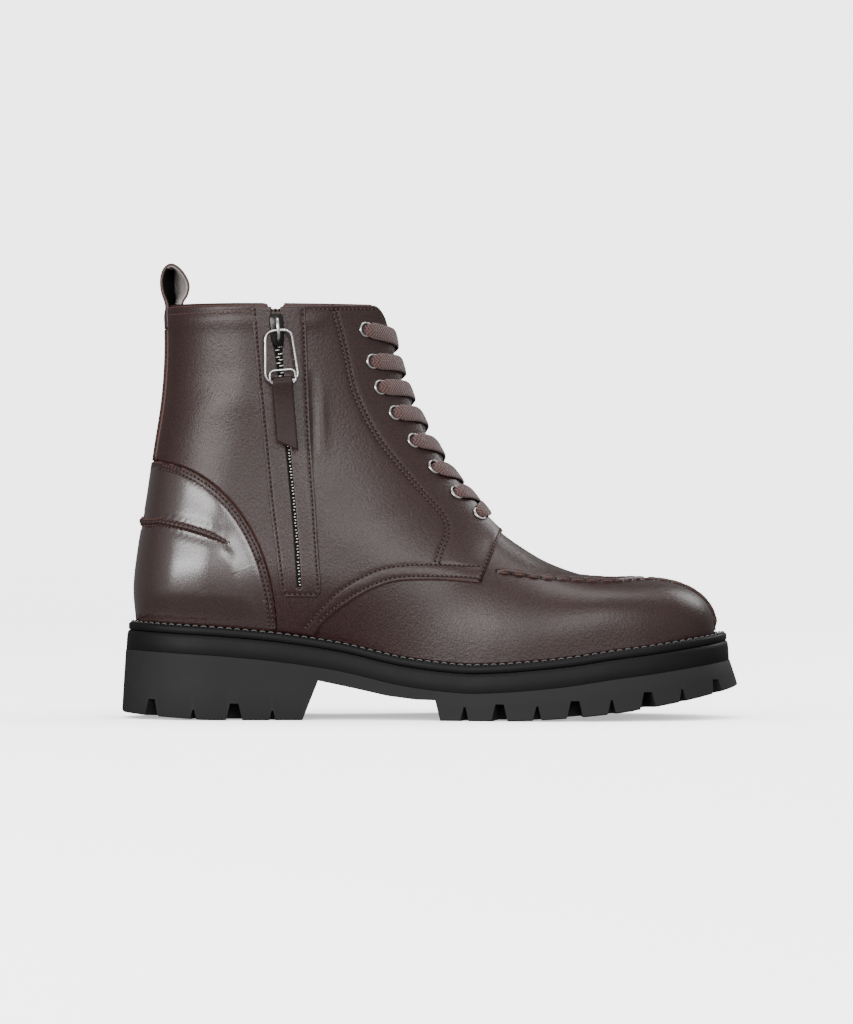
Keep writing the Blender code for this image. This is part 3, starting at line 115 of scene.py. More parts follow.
def spline(values, u, before=None, after=None):
    """A smooth curve through values at 0, 1, 2 ...; before and after steer its two ends."""
    values = np.asarray(values, float)
    first = 2 * values[0] - values[1] if before is None else before
    last = 2 * values[-1] - values[-2] if after is None else after
    padded = np.concatenate([[first], values, [last]])
    u = np.clip(np.asarray(u, float), 0, len(values) - 1)
    i = np.minimum(u.astype(int), len(values) - 2)
    t = u - i
    a, b, c, d = padded[i], padded[i + 1], padded[i + 2], padded[i + 3]
    return 0.5 * (
        2 * b + (c - a) * t + (2 * a - 5 * b + 4 * c - d) * t**2 + (3 * b - a - 3 * c + d) * t**3
    )


def smoothstep(low, high, value):
    t = np.clip((np.asarray(value, float) - low) / (high - low), 0, 1)
    return t * t * (3 - 2 * t)


def bell(value, middle, half):
    """A soft hump of height 1."""
    return np.exp(-(((value - middle) / half) ** 2))


def unit(vectors):
    return vectors / np.linalg.norm(vectors, axis=-1, keepdims=True)


def run_along(points):
    """The distance along a line at each of its points."""
    return np.concatenate([[0], np.cumsum(np.linalg.norm(np.diff(points, axis=0), axis=1))])


def between(spots, run, values):
    """The values of a line's points at spots along its run."""
    return np.stack([np.interp(spots, run, values[:, axis]) for axis in range(values.shape[1])], 1)


def column(name, u):
    return spline([getattr(row, name) for row in LAST], u)


def fine_line(names, first, last):
    return [
        spline([getattr(row, name) for row in LAST[first : last + 1]], np.linspace(0, last - first, 121))
        for name in names
    ]


BACK_LINE = fine_line(("low_z", "low_x"), HEEL_ROW, COLLAR_ROW)
FEATHER_LINE = [line[::-1] for line in fine_line(("low_x", "low_z"), THROAT_ROW - 2, HEEL_ROW)]
FLANK_LINES = {
    side: [line[::-1] for line in fine_line(("low_x", "flank_" + side), THROAT_ROW - 2, HEEL_ROW)]
    for side in SIDES
}


def low_line(side, u):
    """The low ends of the sections: round the feather edge, then up the centre back."""
    other = SIDES[1 - SIDES.index(side)]
    ends = []
    for name in ("low_x", "low_z"):
        foot = [getattr(row, name) for row in LAST[: HEEL_ROW + 1]]
        back = [getattr(row, name) for row in LAST[HEEL_ROW:]]
        on_foot = spline(foot, np.minimum(u, HEEL_ROW), foot[1], foot[-2])
        ends.append(np.where(u <= HEEL_ROW, on_foot, spline(back, np.maximum(u - HEEL_ROW, 0))))
    flank = spline([getattr(row, "flank_" + side) for row in LAST], u, -getattr(LAST[1], "flank_" + other))
    return ends[0], flank * OUTWARD[side], ends[1]


def quarter_round(share):
    share = np.clip(share, 0, 1)
    return np.sqrt(np.maximum(1 - (1 - share) ** 2, 0))


def shaft_half_width(side, x, z, behind_top, depth):
    """Half width behind the instep: the flank, the girth at this height, rounded at front and back."""
    height = np.clip((z - np.interp(x, *FEATHER_LINE)) / GIRTH_RISE, 0, 1)
    low = np.interp(x, *FLANK_LINES[side])
    steps = (z - GIRTHS[0].z) / (GIRTHS[1].z - GIRTHS[0].z)
    full = spline([getattr(row, side) for row in GIRTHS], steps)
    width = low + (full - low) * np.sin(np.pi / 2 * height)
    back_reach = HEEL_ROUND + (COLLAR_ROUND - HEEL_ROUND) * smoothstep(60, 200, z)
    behind_back = (x - np.interp(z, *BACK_LINE)) / back_reach
    return width * quarter_round(behind_top / depth) * quarter_round(behind_back)


def last_point(side, u, v):
    """A point of the last: row u, and v from 0 on the top line to 1 on the low line."""
    u, v = np.broadcast_arrays(np.asarray(u, float), np.asarray(v, float))
    top = [column(name, u) for name in ("top_x", "top_y", "top_z")]
    low = low_line(side, u)
    power = 2 / column("fullness", u)
    rake = smoothstep(*TOE_FAN_ROWS, u)
    out = np.sin(np.pi * v / 2) ** power
    drop = 1 - np.clip(np.cos(np.pi * v / 2), 0, 1) ** power
    bulge = np.maximum(column("bulge_" + side, u), 0) * np.sin(np.pi * np.clip(v, 0, 1))
    reach = np.hypot(low[0] - top[0], low[1] - top[1]) + 1e-9
    lean_x = (1 - rake) * (low[0] - top[0]) / reach
    lean_y = (1 - rake) * (low[1] - top[1]) / reach + rake * OUTWARD[side]
    x = top[0] + (low[0] - top[0]) * ((1 - rake) * out + rake * drop) + bulge * lean_x
    foot_y = top[1] + (low[1] - top[1]) * out + bulge * lean_y
    z = top[2] + (low[2] - top[2]) * drop
    behind_top = drop * np.hypot(low[0] - top[0], low[2] - top[2])
    shaft_y = OUTWARD[side] * shaft_half_width(side, x, z, behind_top, column("depth", u))
    shaft_y = np.where((u >= HEEL_ROW) & (v >= 1), 0.0, shaft_y)
    shaft = smoothstep(*FOOT_TO_SHAFT_ROWS, u)
    return np.stack([x, foot_y + (shaft_y - foot_y) * shaft, z], axis=-1)


PER_ROW, SHARES = 24, 161


def drawn_side(side):
    """A fine grid of the last on one side: points, normals and the length of each section."""
    rows = np.arange(COLLAR_ROW * PER_ROW + 1) / PER_ROW
    v = smoothstep(0, 1, np.linspace(0, 1, 241))
    raw = last_point(side, rows[:, None], v[None, :])
    steps = np.linalg.norm(np.diff(raw, axis=1), axis=2)
    lengths = np.concatenate([np.zeros((len(rows), 1)), np.cumsum(steps, axis=1)], axis=1)
    points = np.empty((len(rows), SHARES, 3))
    for i in range(len(rows)):
        spots = np.linspace(0, lengths[i, -1], SHARES)
        for axis in range(3):
            points[i, :, axis] = np.interp(spots, lengths[i], raw[i, :, axis])
    along = np.gradient(points, axis=0)
    across = np.gradient(points, axis=1)
    normals = np.cross(across, along) * OUTWARD[side]
    normals[:, 0, 1] = 0.0
    normals[0, :, 1] = 0.0
    normals[HEEL_ROW * PER_ROW :, -1, 1] = 0.0
    normals[: HEEL_ROW * PER_ROW + 1, -1, 2] = 0.0
    size = np.linalg.norm(normals, axis=2, keepdims=True)
    normals = np.where(size > 1e-6, normals / np.maximum(size, 1e-9), np.array([0.0, 0.0, 1.0]))
    return points, normals, lengths[:, -1]


DRAWN = {side: drawn_side(side) for side in SIDES}


def section_length(side, u):
    return np.interp(u, np.arange(COLLAR_ROW * PER_ROW + 1) / PER_ROW, DRAWN[side][2])


def on_last(side, u, length):
    """Points and normals of the last at rows u and lengths from the top line."""
    u, length = np.broadcast_arrays(np.asarray(u, float), np.asarray(length, float))
    share = np.clip(length / section_length(side, u), 0, 1) * (SHARES - 1)
    row = np.clip(u, 0, COLLAR_ROW) * PER_ROW
    i = np.minimum(row.astype(int), COLLAR_ROW * PER_ROW - 1)
    j = np.minimum(share.astype(int), SHARES - 2)
    a, b = (row - i)[..., None], (share - j)[..., None]
    made = []
    for grid in DRAWN[side][:2]:
        low = grid[i, j] * (1 - b) + grid[i, j + 1] * b
        high = grid[i + 1, j] * (1 - b) + grid[i + 1, j + 1] * b
        made.append(low * (1 - a) + high * a)
    return made[0], made[1] / np.maximum(np.linalg.norm(made[1], axis=-1, keepdims=True), 1e-9)


SIDE_VIEW, PLAN_VIEW = (0, 2), (0, 1)
ROW_STEP, LENGTH_STEP = 0.02, 0.25


def locate(side, first, second, axes=SIDE_VIEW):
    """Rows and lengths of the points of the last that are seen at these coordinates."""
    goal = np.stack([np.atleast_1d(np.asarray(value, float)) for value in (first, second)], 1)
    axes = list(axes)
    seen = DRAWN[side][0][::3, ::2][..., axes]
    flat = seen.reshape(-1, 2)
    near = np.array([np.argmin(((flat - spot) ** 2).sum(1)) for spot in goal])
    u = (near // seen.shape[1]) * 3 / PER_ROW
    length = (near % seen.shape[1]) * 2 / (SHARES - 1) * section_length(side, u)
    for _ in range(14):
        here = on_last(side, u, length)[0][:, axes]
        ahead = np.minimum(u + ROW_STEP, COLLAR_ROW)
        du = (on_last(side, ahead, length)[0][:, axes] - here) / ROW_STEP
        dl = (on_last(side, u, length + LENGTH_STEP)[0][:, axes] - here) / LENGTH_STEP
        miss = goal - here
        det = du[:, 0] * dl[:, 1] - du[:, 1] * dl[:, 0]
        det = np.where(np.abs(det) < 1e-3, 1e-3, det)
        step_u = (miss[:, 0] * dl[:, 1] - miss[:, 1] * dl[:, 0]) / det
        step_l = (du[:, 0] * miss[:, 1] - du[:, 1] * miss[:, 0]) / det
        u = np.clip(u + np.clip(step_u, -0.3, 0.3), 0.0, COLLAR_ROW - 0.005)
        length = np.clip(length + np.clip(step_l, -6, 6), 0, section_length(side, u))
    return u, length


def throat_edge(u):
    """Distance of the upper's edge from the centre line along section u."""
    u = np.asarray(u, float)
    opening = THROAT_HALF * quarter_round((u - THROAT_ROW) / 1.2)
    opening = opening + THROAT_FLARE * (u - THROAT_ROW) / (COLLAR_ROW - THROAT_ROW)
    corner = np.clip((u - CORNER_ROW) / (COLLAR_ROW - CORNER_ROW), 0, 1)
    opening = opening + CORNER_CUT * (1 - np.sqrt(1 - 0.985 * corner**2))
    return np.where(u <= THROAT_ROW, 0.0, opening)


# Materials: groups that several finishes share, then the finishes


SURFACE = [("Colour", "NodeSocketColor"), ("Roughness", "NodeSocketFloat"), ("Height", "NodeSocketFloat")]


def new_group(name, inputs):
    """A group with these inputs that puts out a colour, a roughness and a height."""
    group = bpy.data.node_groups.new(name, "ShaderNodeTree")
    for label, kind, value in inputs:
        made = group.interface.new_socket(name=label, in_out="INPUT", socket_type=kind)
        made.default_value = value
    for label, kind in SURFACE:
        group.interface.new_socket(name=label, in_out="OUTPUT", socket_type=kind)
    return group, group.nodes.new("NodeGroupInput"), group.nodes.new("NodeGroupOutput")


def add(tree, kind, values=None, **settings):
    node = tree.nodes.new(kind)
    for name, value in settings.items():
        setattr(node, name, value)
    for name, value in (values or {}).items():
        node.inputs[name].default_value = value
    return node


def feed(tree, node, values):
    """Fills inputs by index; each value is a socket or a plain value."""
    for index, value in values:
        if hasattr(value, "is_linked"):
            tree.links.new(value, node.inputs[index])
        else:
            node.inputs[index].default_value = value


def blend_colours(tree, factor, first, second, mode="MIX"):
    node = add(tree, "ShaderNodeMix", data_type="RGBA", blend_type=mode)
    feed(tree, node, ((0, factor), (6, first), (7, second)))
    return node.outputs[2]


def maths(tree, operation, *values, clamp=False):
    node = add(tree, "ShaderNodeMath", operation=operation, use_clamp=clamp)
    feed(tree, node, enumerate(values))
    return node.outputs[0]


def leather_group():
    """Grain of smooth leather: fine pores and pebbles, soft mottling of colour and gloss."""
    group, start, end = new_group(
        "smooth_leather_grain",
        [
            ("Colour", "NodeSocketColor", (0.05, 0.02, 0.016, 1)),
            ("Deep Colour", "NodeSocketColor", (0.02, 0.008, 0.007, 1)),
            ("Grain Scale", "NodeSocketFloat", 900.0),
            ("Gloss", "NodeSocketFloat", 0.34),
        ],
    )
    link = group.links.new
    place = add(group, "ShaderNodeTexCoord").outputs["Object"]
    drift = add(group, "ShaderNodeTexNoise", {"Scale": 34.0, "Detail": 3.0, "Roughness": 0.6})
    pebble = add(group, "ShaderNodeTexVoronoi", {"Randomness": 0.9}, feature="SMOOTH_F1")
    pores = add(group, "ShaderNodeTexNoise", {"Detail": 2.0, "Roughness": 0.7})
    for node in (drift, pebble, pores):
        link(place, node.inputs["Vector"])
    scale, gloss, fine = start.outputs["Grain Scale"], start.outputs["Gloss"], pores.outputs["Fac"]
    link(scale, pebble.inputs["Scale"])
    link(maths(group, "MULTIPLY", scale, 2.6), pores.inputs["Scale"])
    mottle = maths(group, "MULTIPLY", drift.outputs["Fac"], 0.75, clamp=True)
    dyed = blend_colours(group, mottle, start.outputs["Colour"], start.outputs["Deep Colour"])
    grain = maths(group, "MAXIMUM", maths(group, "MULTIPLY_ADD", fine, 4.4, -1.2), 0.25)
    link(blend_colours(group, 1.0, dyed, grain, "MULTIPLY"), end.inputs["Colour"])
    shine = maths(group, "MULTIPLY_ADD", drift.outputs["Fac"], 0.12, -0.06)
    speck = maths(group, "MULTIPLY_ADD", fine, 0.16, -0.08)
    link(maths(group, "ADD", maths(group, "ADD", gloss, shine), speck), end.inputs["Roughness"])
    raised = maths(group, "MULTIPLY", pebble.outputs["Distance"], 0.7)
    link(maths(group, "ADD", raised, maths(group, "MULTIPLY", fine, 0.5)), end.inputs["Height"])
    return group


def speckle_group():
    """Moulded rubber: a fine matt texture with faint dusty patches."""
    group, start, end = new_group(
        "moulded_rubber",
        [
            ("Colour", "NodeSocketColor", (0.02, 0.02, 0.02, 1)),
            ("Dust", "NodeSocketColor", (0.06, 0.06, 0.06, 1)),
            ("Gloss", "NodeSocketFloat", 0.6),
        ],
    )
    link = group.links.new
    place = add(group, "ShaderNodeTexCoord").outputs["Object"]
    patch = add(group, "ShaderNodeTexNoise", {"Scale": 60.0, "Detail": 4.0, "Roughness": 0.65})
    fine = add(group, "ShaderNodeTexNoise", {"Scale": 2400.0, "Detail": 1.0})
    for node in (patch, fine):
        link(place, node.inputs["Vector"])
    share = maths(group, "SUBTRACT", patch.outputs["Fac"], 0.42, clamp=True)
    share = maths(group, "MULTIPLY", share, 1.6, clamp=True)
    link(blend_colours(group, share, start.outputs["Colour"], start.outputs["Dust"]), end.inputs["Colour"])
    drift = maths(group, "MULTIPLY_ADD", patch.outputs["Fac"], 0.2, -0.1)
    link(maths(group, "ADD", start.outputs["Gloss"], drift), end.inputs["Roughness"])
    link(fine.outputs["Fac"], end.inputs["Height"])
    return group


def wear_group():
    """Brushed and slightly tarnished metal."""
    group, start, end = new_group(
        "worn_metal",
        [
            ("Colour", "NodeSocketColor", (0.6, 0.59, 0.57, 1)),
            ("Tarnish", "NodeSocketColor", (0.25, 0.23, 0.21, 1)),
            ("Gloss", "NodeSocketFloat", 0.22),
        ],
    )
    link = group.links.new
    place = add(group, "ShaderNodeTexCoord").outputs["Object"]
    cloud = add(group, "ShaderNodeTexNoise", {"Scale": 420.0, "Detail": 4.0, "Roughness": 0.7})
    fine = add(group, "ShaderNodeTexNoise", {"Scale": 5200.0, "Detail": 1.0})
    for node in (cloud, fine):
        link(place, node.inputs["Vector"])
    share = maths(group, "SUBTRACT", cloud.outputs["Fac"], 0.5, clamp=True)
    share = maths(group, "MULTIPLY", share, 1.5, clamp=True)
    link(blend_colours(group, share, start.outputs["Colour"], start.outputs["Tarnish"]), end.inputs["Colour"])
    drift = maths(group, "MULTIPLY", cloud.outputs["Fac"], 0.16)
    link(maths(group, "ADD", start.outputs["Gloss"], drift), end.inputs["Roughness"])
    link(fine.outputs["Fac"], end.inputs["Height"])
    return group


GROUPS = {"leather": leather_group(), "rubber": speckle_group(), "metal": wear_group()}


def finish(name, group, values, bump, **fixed):
    """A material that takes its colour, roughness and height from one of the shared groups.

    bump holds the strength and the height in metres; fixed holds values of the shader's own inputs."""
    material = bpy.data.materials.new(name)
    material.use_nodes = True
    tree = material.node_tree
    shader = tree.nodes["Principled BSDF"]
    node = add(tree, "ShaderNodeGroup", node_tree=GROUPS[group])
    for label, value in values.items():
        node.inputs[label].default_value = value
    raised = add(tree, "ShaderNodeBump", {"Strength": bump[0], "Distance": bump[1]})
    tree.links.new(node.outputs["Colour"], shader.inputs["Base Color"])
    tree.links.new(node.outputs["Roughness"], shader.inputs["Roughness"])
    tree.links.new(node.outputs["Height"], raised.inputs["Height"])
    tree.links.new(raised.outputs["Normal"], shader.inputs["Normal"])
    for label, value in fixed.items():
        shader.inputs[label.replace("_", " ")].default_value = value
    return material


def rgb(red, green, blue):
    return (red, green, blue, 1.0)


def leather(name, colour, deep, grain, gloss, bump, **fixed):
    values = {"Colour": colour, "Deep Colour": deep, "Grain Scale": grain, "Gloss": gloss}
    return finish(name, "leather", values, bump, **fixed)


BROWN, DEEP_BROWN = rgb(0.030, 0.0126, 0.0111), rgb(0.019, 0.0080, 0.0071)
LEATHER = leather("brown_leather", BROWN, DEEP_BROWN, 820.0, 0.38, (0.8, 0.00016), Specular_IOR_Level=0.40)
HEEL_LEATHER = leather(
    "polished_heel_leather", BROWN, DEEP_BROWN, 820.0, 0.29, (0.35, 0.00014),
    Specular_IOR_Level=0.68, Coat_Weight=0.5, Coat_Roughness=0.25,
)
TAB_LEATHER = leather(
    "zip_tab_leather", rgb(0.021, 0.0084, 0.0073), DEEP_BROWN, 900.0, 0.5, (0.5, 0.00014),
    Specular_IOR_Level=0.25,
)
SEAM_LEATHER = leather(
    "pinched_seam_leather", rgb(0.031, 0.0130, 0.0114), DEEP_BROWN, 1100.0, 0.42, (0.3, 0.00012)
)
RAW_EDGE = leather(
    "raw_leather_edge", rgb(0.085, 0.030, 0.022), rgb(0.05, 0.018, 0.014), 2200.0, 0.62, (0.4, 0.00015)
)
LINING = leather(
    "lining_leather", rgb(0.080, 0.048, 0.036), rgb(0.05, 0.028, 0.02), 1500.0, 0.62, (0.2, 0.0001)
)
STRAP_BACK = leather(
    "suede_strap_back", rgb(0.30, 0.28, 0.27), rgb(0.22, 0.20, 0.19), 2600.0, 0.85, (0.6, 0.0002)
)
THREAD = leather(
    "stitching_thread", rgb(0.105, 0.052, 0.044), rgb(0.07, 0.032, 0.027), 4200.0, 0.62, (0.4, 0.0001),
    Specular_IOR_Level=0.25,
)
# Near-black: painted shade inside the needle holes
NEEDLE_HOLE_SHADE = leather(
    "needle_hole_painted_shade", rgb(0.006, 0.003, 0.003), rgb(0.004, 0.002, 0.002), 4200.0, 0.9, (0.2, 0.0001)
)
WELT_THREAD = leather(
    "welt_thread", rgb(0.10, 0.10, 0.105), rgb(0.04, 0.04, 0.042), 4200.0, 0.55, (0.4, 0.0001)
)
# Near-black: the zip tape's own colour, and painted shade where the pull loop uses it
TAPE_BLACK_AND_PAINTED_SHADE = leather(
    "zip_tape", rgb(0.005, 0.004, 0.004), rgb(0.003, 0.0024, 0.0024), 3600.0, 0.8, (0.5, 0.00015),
    Specular_IOR_Level=0.15,
)
BLACK_RUBBER = finish(
    "black_midsole_rubber",
    "rubber",
    {"Colour": rgb(0.0036, 0.0036, 0.0039), "Dust": rgb(0.0060, 0.0060, 0.0063), "Gloss": 0.55},
    bump=(0.25, 0.0001),
    Specular_IOR_Level=0.18,
)
GREY_RUBBER = finish(
    "grey_outsole_rubber",
    "rubber",
    {"Colour": rgb(0.0120, 0.0120, 0.0124), "Dust": rgb(0.017, 0.017, 0.0175), "Gloss": 0.72},
    bump=(0.3, 0.0001),
    Specular_IOR_Level=0.28,
)
DARK_STEEL = finish(
    "dark_slider_steel",
    "metal",
    {"Colour": rgb(0.035, 0.034, 0.033), "Tarnish": rgb(0.015, 0.0147, 0.0145), "Gloss": 0.2},
    bump=(0.05, 0.00005),
    Metallic=1.0,
)
STEEL = finish(
    "zip_steel",
    "metal",
    {"Colour": rgb(0.50, 0.49, 0.48), "Tarnish": rgb(0.16, 0.155, 0.15), "Gloss": 0.16},
    bump=(0.05, 0.00005),
    Metallic=1.0,
)
# LACE_HOLLOW_SHADE is painted shade for the hollows between the yarns; LACE_LIGHT is the yarns' colour
LACE_HOLLOW_SHADE, LACE_LIGHT = rgb(0.020, 0.0088, 0.0080), rgb(0.150, 0.071, 0.064)
YARN_PITCH, WARP_PITCH, YARN_SLANT = 1.5, 1.3, 0.7


def lace_finish():
    """Flat woven lace: rows of slanting yarns that meet along the middle."""
    material = bpy.data.materials.new("woven_lace")
    material.use_nodes = True
    tree = material.node_tree
    link = tree.links.new
    shader = tree.nodes["Principled BSDF"]
    shader.inputs["Roughness"].default_value = 0.82
    shader.inputs["Sheen Weight"].default_value = 0.25
    shader.inputs["Sheen Roughness"].default_value = 0.5
    weave = add(tree, "ShaderNodeUVMap", uv_map="weave")
    split = add(tree, "ShaderNodeSeparateXYZ")
    link(weave.outputs["UV"], split.inputs["Vector"])
    across = maths(tree, "ABSOLUTE", split.outputs["X"])
    slant = maths(tree, "ADD", split.outputs["Y"], maths(tree, "MULTIPLY", across, YARN_SLANT))
    yarn = maths(tree, "SINE", maths(tree, "MULTIPLY", slant, 2 * math.pi / YARN_PITCH))
    warp = maths(tree, "SINE", maths(tree, "MULTIPLY", split.outputs["X"], 2 * math.pi / WARP_PITCH))
    crossed = maths(tree, "MULTIPLY", yarn, warp)
    cloth = maths(tree, "MULTIPLY_ADD", crossed, 0.35, maths(tree, "MULTIPLY", yarn, 0.65))
    height = maths(tree, "MULTIPLY_ADD", cloth, 0.5, 0.5)
    # Painted shade: the colour darkens where the weave is low, between the yarns
    link(blend_colours(tree, height, LACE_HOLLOW_SHADE, LACE_LIGHT), shader.inputs["Base Color"])
    raised = add(tree, "ShaderNodeBump", {"Strength": 1.0, "Distance": 0.0006})
    link(height, raised.inputs["Height"])
    link(raised.outputs["Normal"], shader.inputs["Normal"])
    return material


LACE = lace_finish()


# Making pieces


def mesh_of(name, points, faces):
    """A mesh in metres in the shared frame from points in millimetres."""
    mesh = bpy.data.meshes.new(name)
    mesh.from_pydata(((np.asarray(points) - MIDDLE) * MM).tolist(), [], [list(face) for face in faces])
    return mesh


def shown(name, mesh):
    """Puts a mesh into the scene with all its faces turned outward."""
    form = bmesh.new()
    form.from_mesh(mesh)
    bmesh.ops.recalc_face_normals(form, faces=form.faces)
    form.to_mesh(mesh)
    form.free()
    made = bpy.data.objects.new(name, mesh)
    bpy.context.scene.collection.objects.link(made)
    return made


def piece(name, points, faces, materials, slot, nodes=(), body="boot", marks=None, weave=None):
    """A closed piece that rides on a body of the boot and may stand for nodes of the solids.

    marks gives each face its material; weave gives each corner its place on a lace."""
    mesh = mesh_of(name, points, faces)
    for material in materials:
        mesh.materials.append(material)
    if marks is not None:
        mesh.polygons.foreach_set("material_index", np.asarray(marks, dtype=np.int32))
    if weave is not None:
        layer = mesh.uv_layers.new(name="weave")
        spots = np.asarray(weave, float)[[loop.vertex_index for loop in mesh.loops]]
        layer.data.foreach_set("uv", spots.ravel())
    mesh.validate()
    made = shown(name, mesh)
    mesh.shade_smooth()
    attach(made, body)
    if nodes:
        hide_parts(*nodes)
    return made


def grid_faces(rows, columns, start=0, flip=False):
    """Quads between the corners of a grid."""
    i, j = np.meshgrid(np.arange(rows - 1), np.arange(columns - 1), indexing="ij")
    a = (start + i * columns + j).ravel()
    quads = np.stack([a, a + 1, a + columns + 1, a + columns], 1)
    return [tuple(quad) for quad in (quads[:, ::-1] if flip else quads).tolist()]


def closed_wall(outer, inner, faces):
    """Points and faces of a wall: an outer skin, an inner one and the rim between their open edges."""
    count = len(outer)
    edges = {}
    for face in faces:
        for a, b in zip(face, list(face[1:]) + [face[0]]):
            edges[(a, b)] = True
    rim = [(b, a, a + count, b + count) for a, b in edges if (b, a) not in edges]
    inside = [tuple(count + k for k in face[::-1]) for face in faces]
    return np.concatenate([outer, inner]), [tuple(face) for face in faces], inside, rim


def ring_faces(rings, count, closed=False):
    """Quads between rings of corners that follow each other."""
    faces = []
    for i in range(rings if closed else rings - 1):
        n = (i + 1) % rings
        for k in range(count):
            m = (k + 1) % count
            faces.append((i * count + k, i * count + m, n * count + m, n * count + k))
    return faces


def tree_of(points):
    tree = KDTree(len(points))
    for index, point in enumerate(points):
        tree.insert(point, index)
    tree.balance()
    return tree


def welded(points, faces, reach=0.02):
    """Corners that coincide become one; faces that shrink to a line are dropped."""
    tree = tree_of(points)
    keep = [min(index for _, index, _ in tree.find_range(point, reach)) for point in points]
    made = []
    for face in faces:
        ring = []
        for corner in (keep[k] for k in face):
            if corner not in ring:
                ring.append(corner)
        if len(ring) > 2:
            made.append(tuple(ring))
    return made


def used_only(points, faces, *others):
    """Drops the corners that no face uses, in each of the given arrays."""
    used = sorted({k for face in faces for k in face})
    rank = {old: new for new, old in enumerate(used)}
    return [np.asarray(points)[used], [tuple(rank[k] for k in face) for face in faces]] + [
        np.asarray(other)[used] for other in others
    ]


def resampled(line, pitch, closed=False):
    """The same line with corners about a pitch apart."""
    line = np.asarray(line, float)
    if closed:
        line = np.concatenate([line, line[:1]])
    run = run_along(line)
    count = max(int(round(run[-1] / pitch)), 2)
    spots = np.linspace(0, run[-1], count + 1)
    return between(spots[:-1] if closed else spots, run, line)


def smooth_line(spots, parts=8):
    """A smooth curve through a short list of spots."""
    spots = np.asarray(spots, float)
    u = np.linspace(0, len(spots) - 1, (len(spots) - 1) * parts + 1)
    return np.stack([spline(spots[:, axis], u) for axis in range(spots.shape[1])], 1)


# Charts: flat coordinates in which panels are cut. "a" runs along the sections and "b" across them.
# place() gives points and normals of the last, seen() the coordinates of spots in the side view.

ROW_SPAN = 12.0


class FrontChart:
    """One side of the boot, with a measured from the top line."""

    def __init__(self, side):
        self.side = side

    def place(self, flat):
        flat = np.asarray(flat, float)
        return on_last(self.side, flat[:, 1] / ROW_SPAN, flat[:, 0])

    def seen(self, x, z):
        u, length = locate(self.side, x, z)
        return np.stack([length, u * ROW_SPAN], 1)


class BackChart:
    """Both sides round the heel, with a measured from the low end of each section, medial below 0."""

    def place(self, flat):
        flat = np.asarray(flat, float)
        u = flat[:, 1] / ROW_SPAN
        points, normals = np.empty((len(flat), 3)), np.empty((len(flat), 3))
        for side in SIDES:
            mine = flat[:, 0] < 0 if side == "medial" else flat[:, 0] >= 0
            length = section_length(side, u[mine]) - np.abs(flat[mine, 0])
            points[mine], normals[mine] = on_last(side, u[mine], length)
        return points, normals

    def seen(self, side, x, z):
        u, length = locate(side, x, z)
        return np.stack([(section_length(side, u) - length) * OUTWARD[side], u * ROW_SPAN], 1)


def shifted(chart, line, reach, closed=True):
    """A line in a chart moved sideways by a true distance, to the left of its run."""
    line = np.asarray(line, float)
    if closed:
        ahead = np.roll(line, -1, 0) - np.roll(line, 1, 0)
    else:
        ahead = np.gradient(line, axis=0)
    step = 0.05
    here = chart.place(line)[0]
    along_a = (chart.place(line + [step, 0])[0] - here) / step
    along_b = (chart.place(line + [0, step])[0] - here) / step
    e = (along_a**2).sum(1) + 1e-6
    f = (along_a * along_b).sum(1)
    g = (along_b**2).sum(1) + 1e-6
    left_a, left_b = -ahead[:, 1], ahead[:, 0]
    det = np.maximum(e * g - f * f, 1e-6)
    move_a, move_b = (g * left_a - f * left_b) / det, (e * left_b - f * left_a) / det
    size = np.sqrt(np.maximum(e * move_a**2 + 2 * f * move_a * move_b + g * move_b**2, 1e-9))
    return line + reach * np.stack([move_a, move_b], 1) / size[:, None]


def inside_ring(ring, spots):
    """Which spots lie inside a closed ring."""
    inside = np.zeros(len(spots), bool)
    for (ax, ay), (bx, by) in zip(ring, np.roll(ring, -1, 0)):
        crosses = (ay > spots[:, 1]) != (by > spots[:, 1])
        with np.errstate(divide="ignore", invalid="ignore"):
            at = ax + (bx - ax) * (spots[:, 1] - ay) / (by - ay)
        inside ^= crosses & (spots[:, 0] < at)
    return inside


def distances(points, line):
    """True distance of each point from a line of points drawn finely."""
    tree = tree_of(line)
    return np.array([tree.find(point)[2] for point in points])


EDGE_STEPS = (0.14, 0.38, 0.75, 1.3)
EDGE_ROUND, EDGE_FOOT = 0.9, 0.42
GROOVE_DEPTH, GROOVE_HALF = 0.32, 0.7
GROOVE_STEPS, GROOVE_CLEAR = (-0.75, 0.0, 0.75), 1.2
HOLE_SHARES, HOLE_CLEAR = (1.0, 1.35), 1.7
PLAIN_FOOT = 6.0


def hole_ring(chart, centre, radius):
    """Corners in a chart that form a true circle on the boot."""
    turn = np.linspace(0, 2 * np.pi, 20, endpoint=False)
    spot, step = np.array([centre]), 0.2
    here = chart.place(spot)[0]
    da = np.linalg.norm(chart.place(spot + [step, 0])[0] - here) / step
    db = np.linalg.norm(chart.place(spot + [0, step])[0] - here) / step
    return np.stack([centre[0] + radius * np.cos(turn) / da, centre[1] + radius * np.sin(turn) / db], 1)


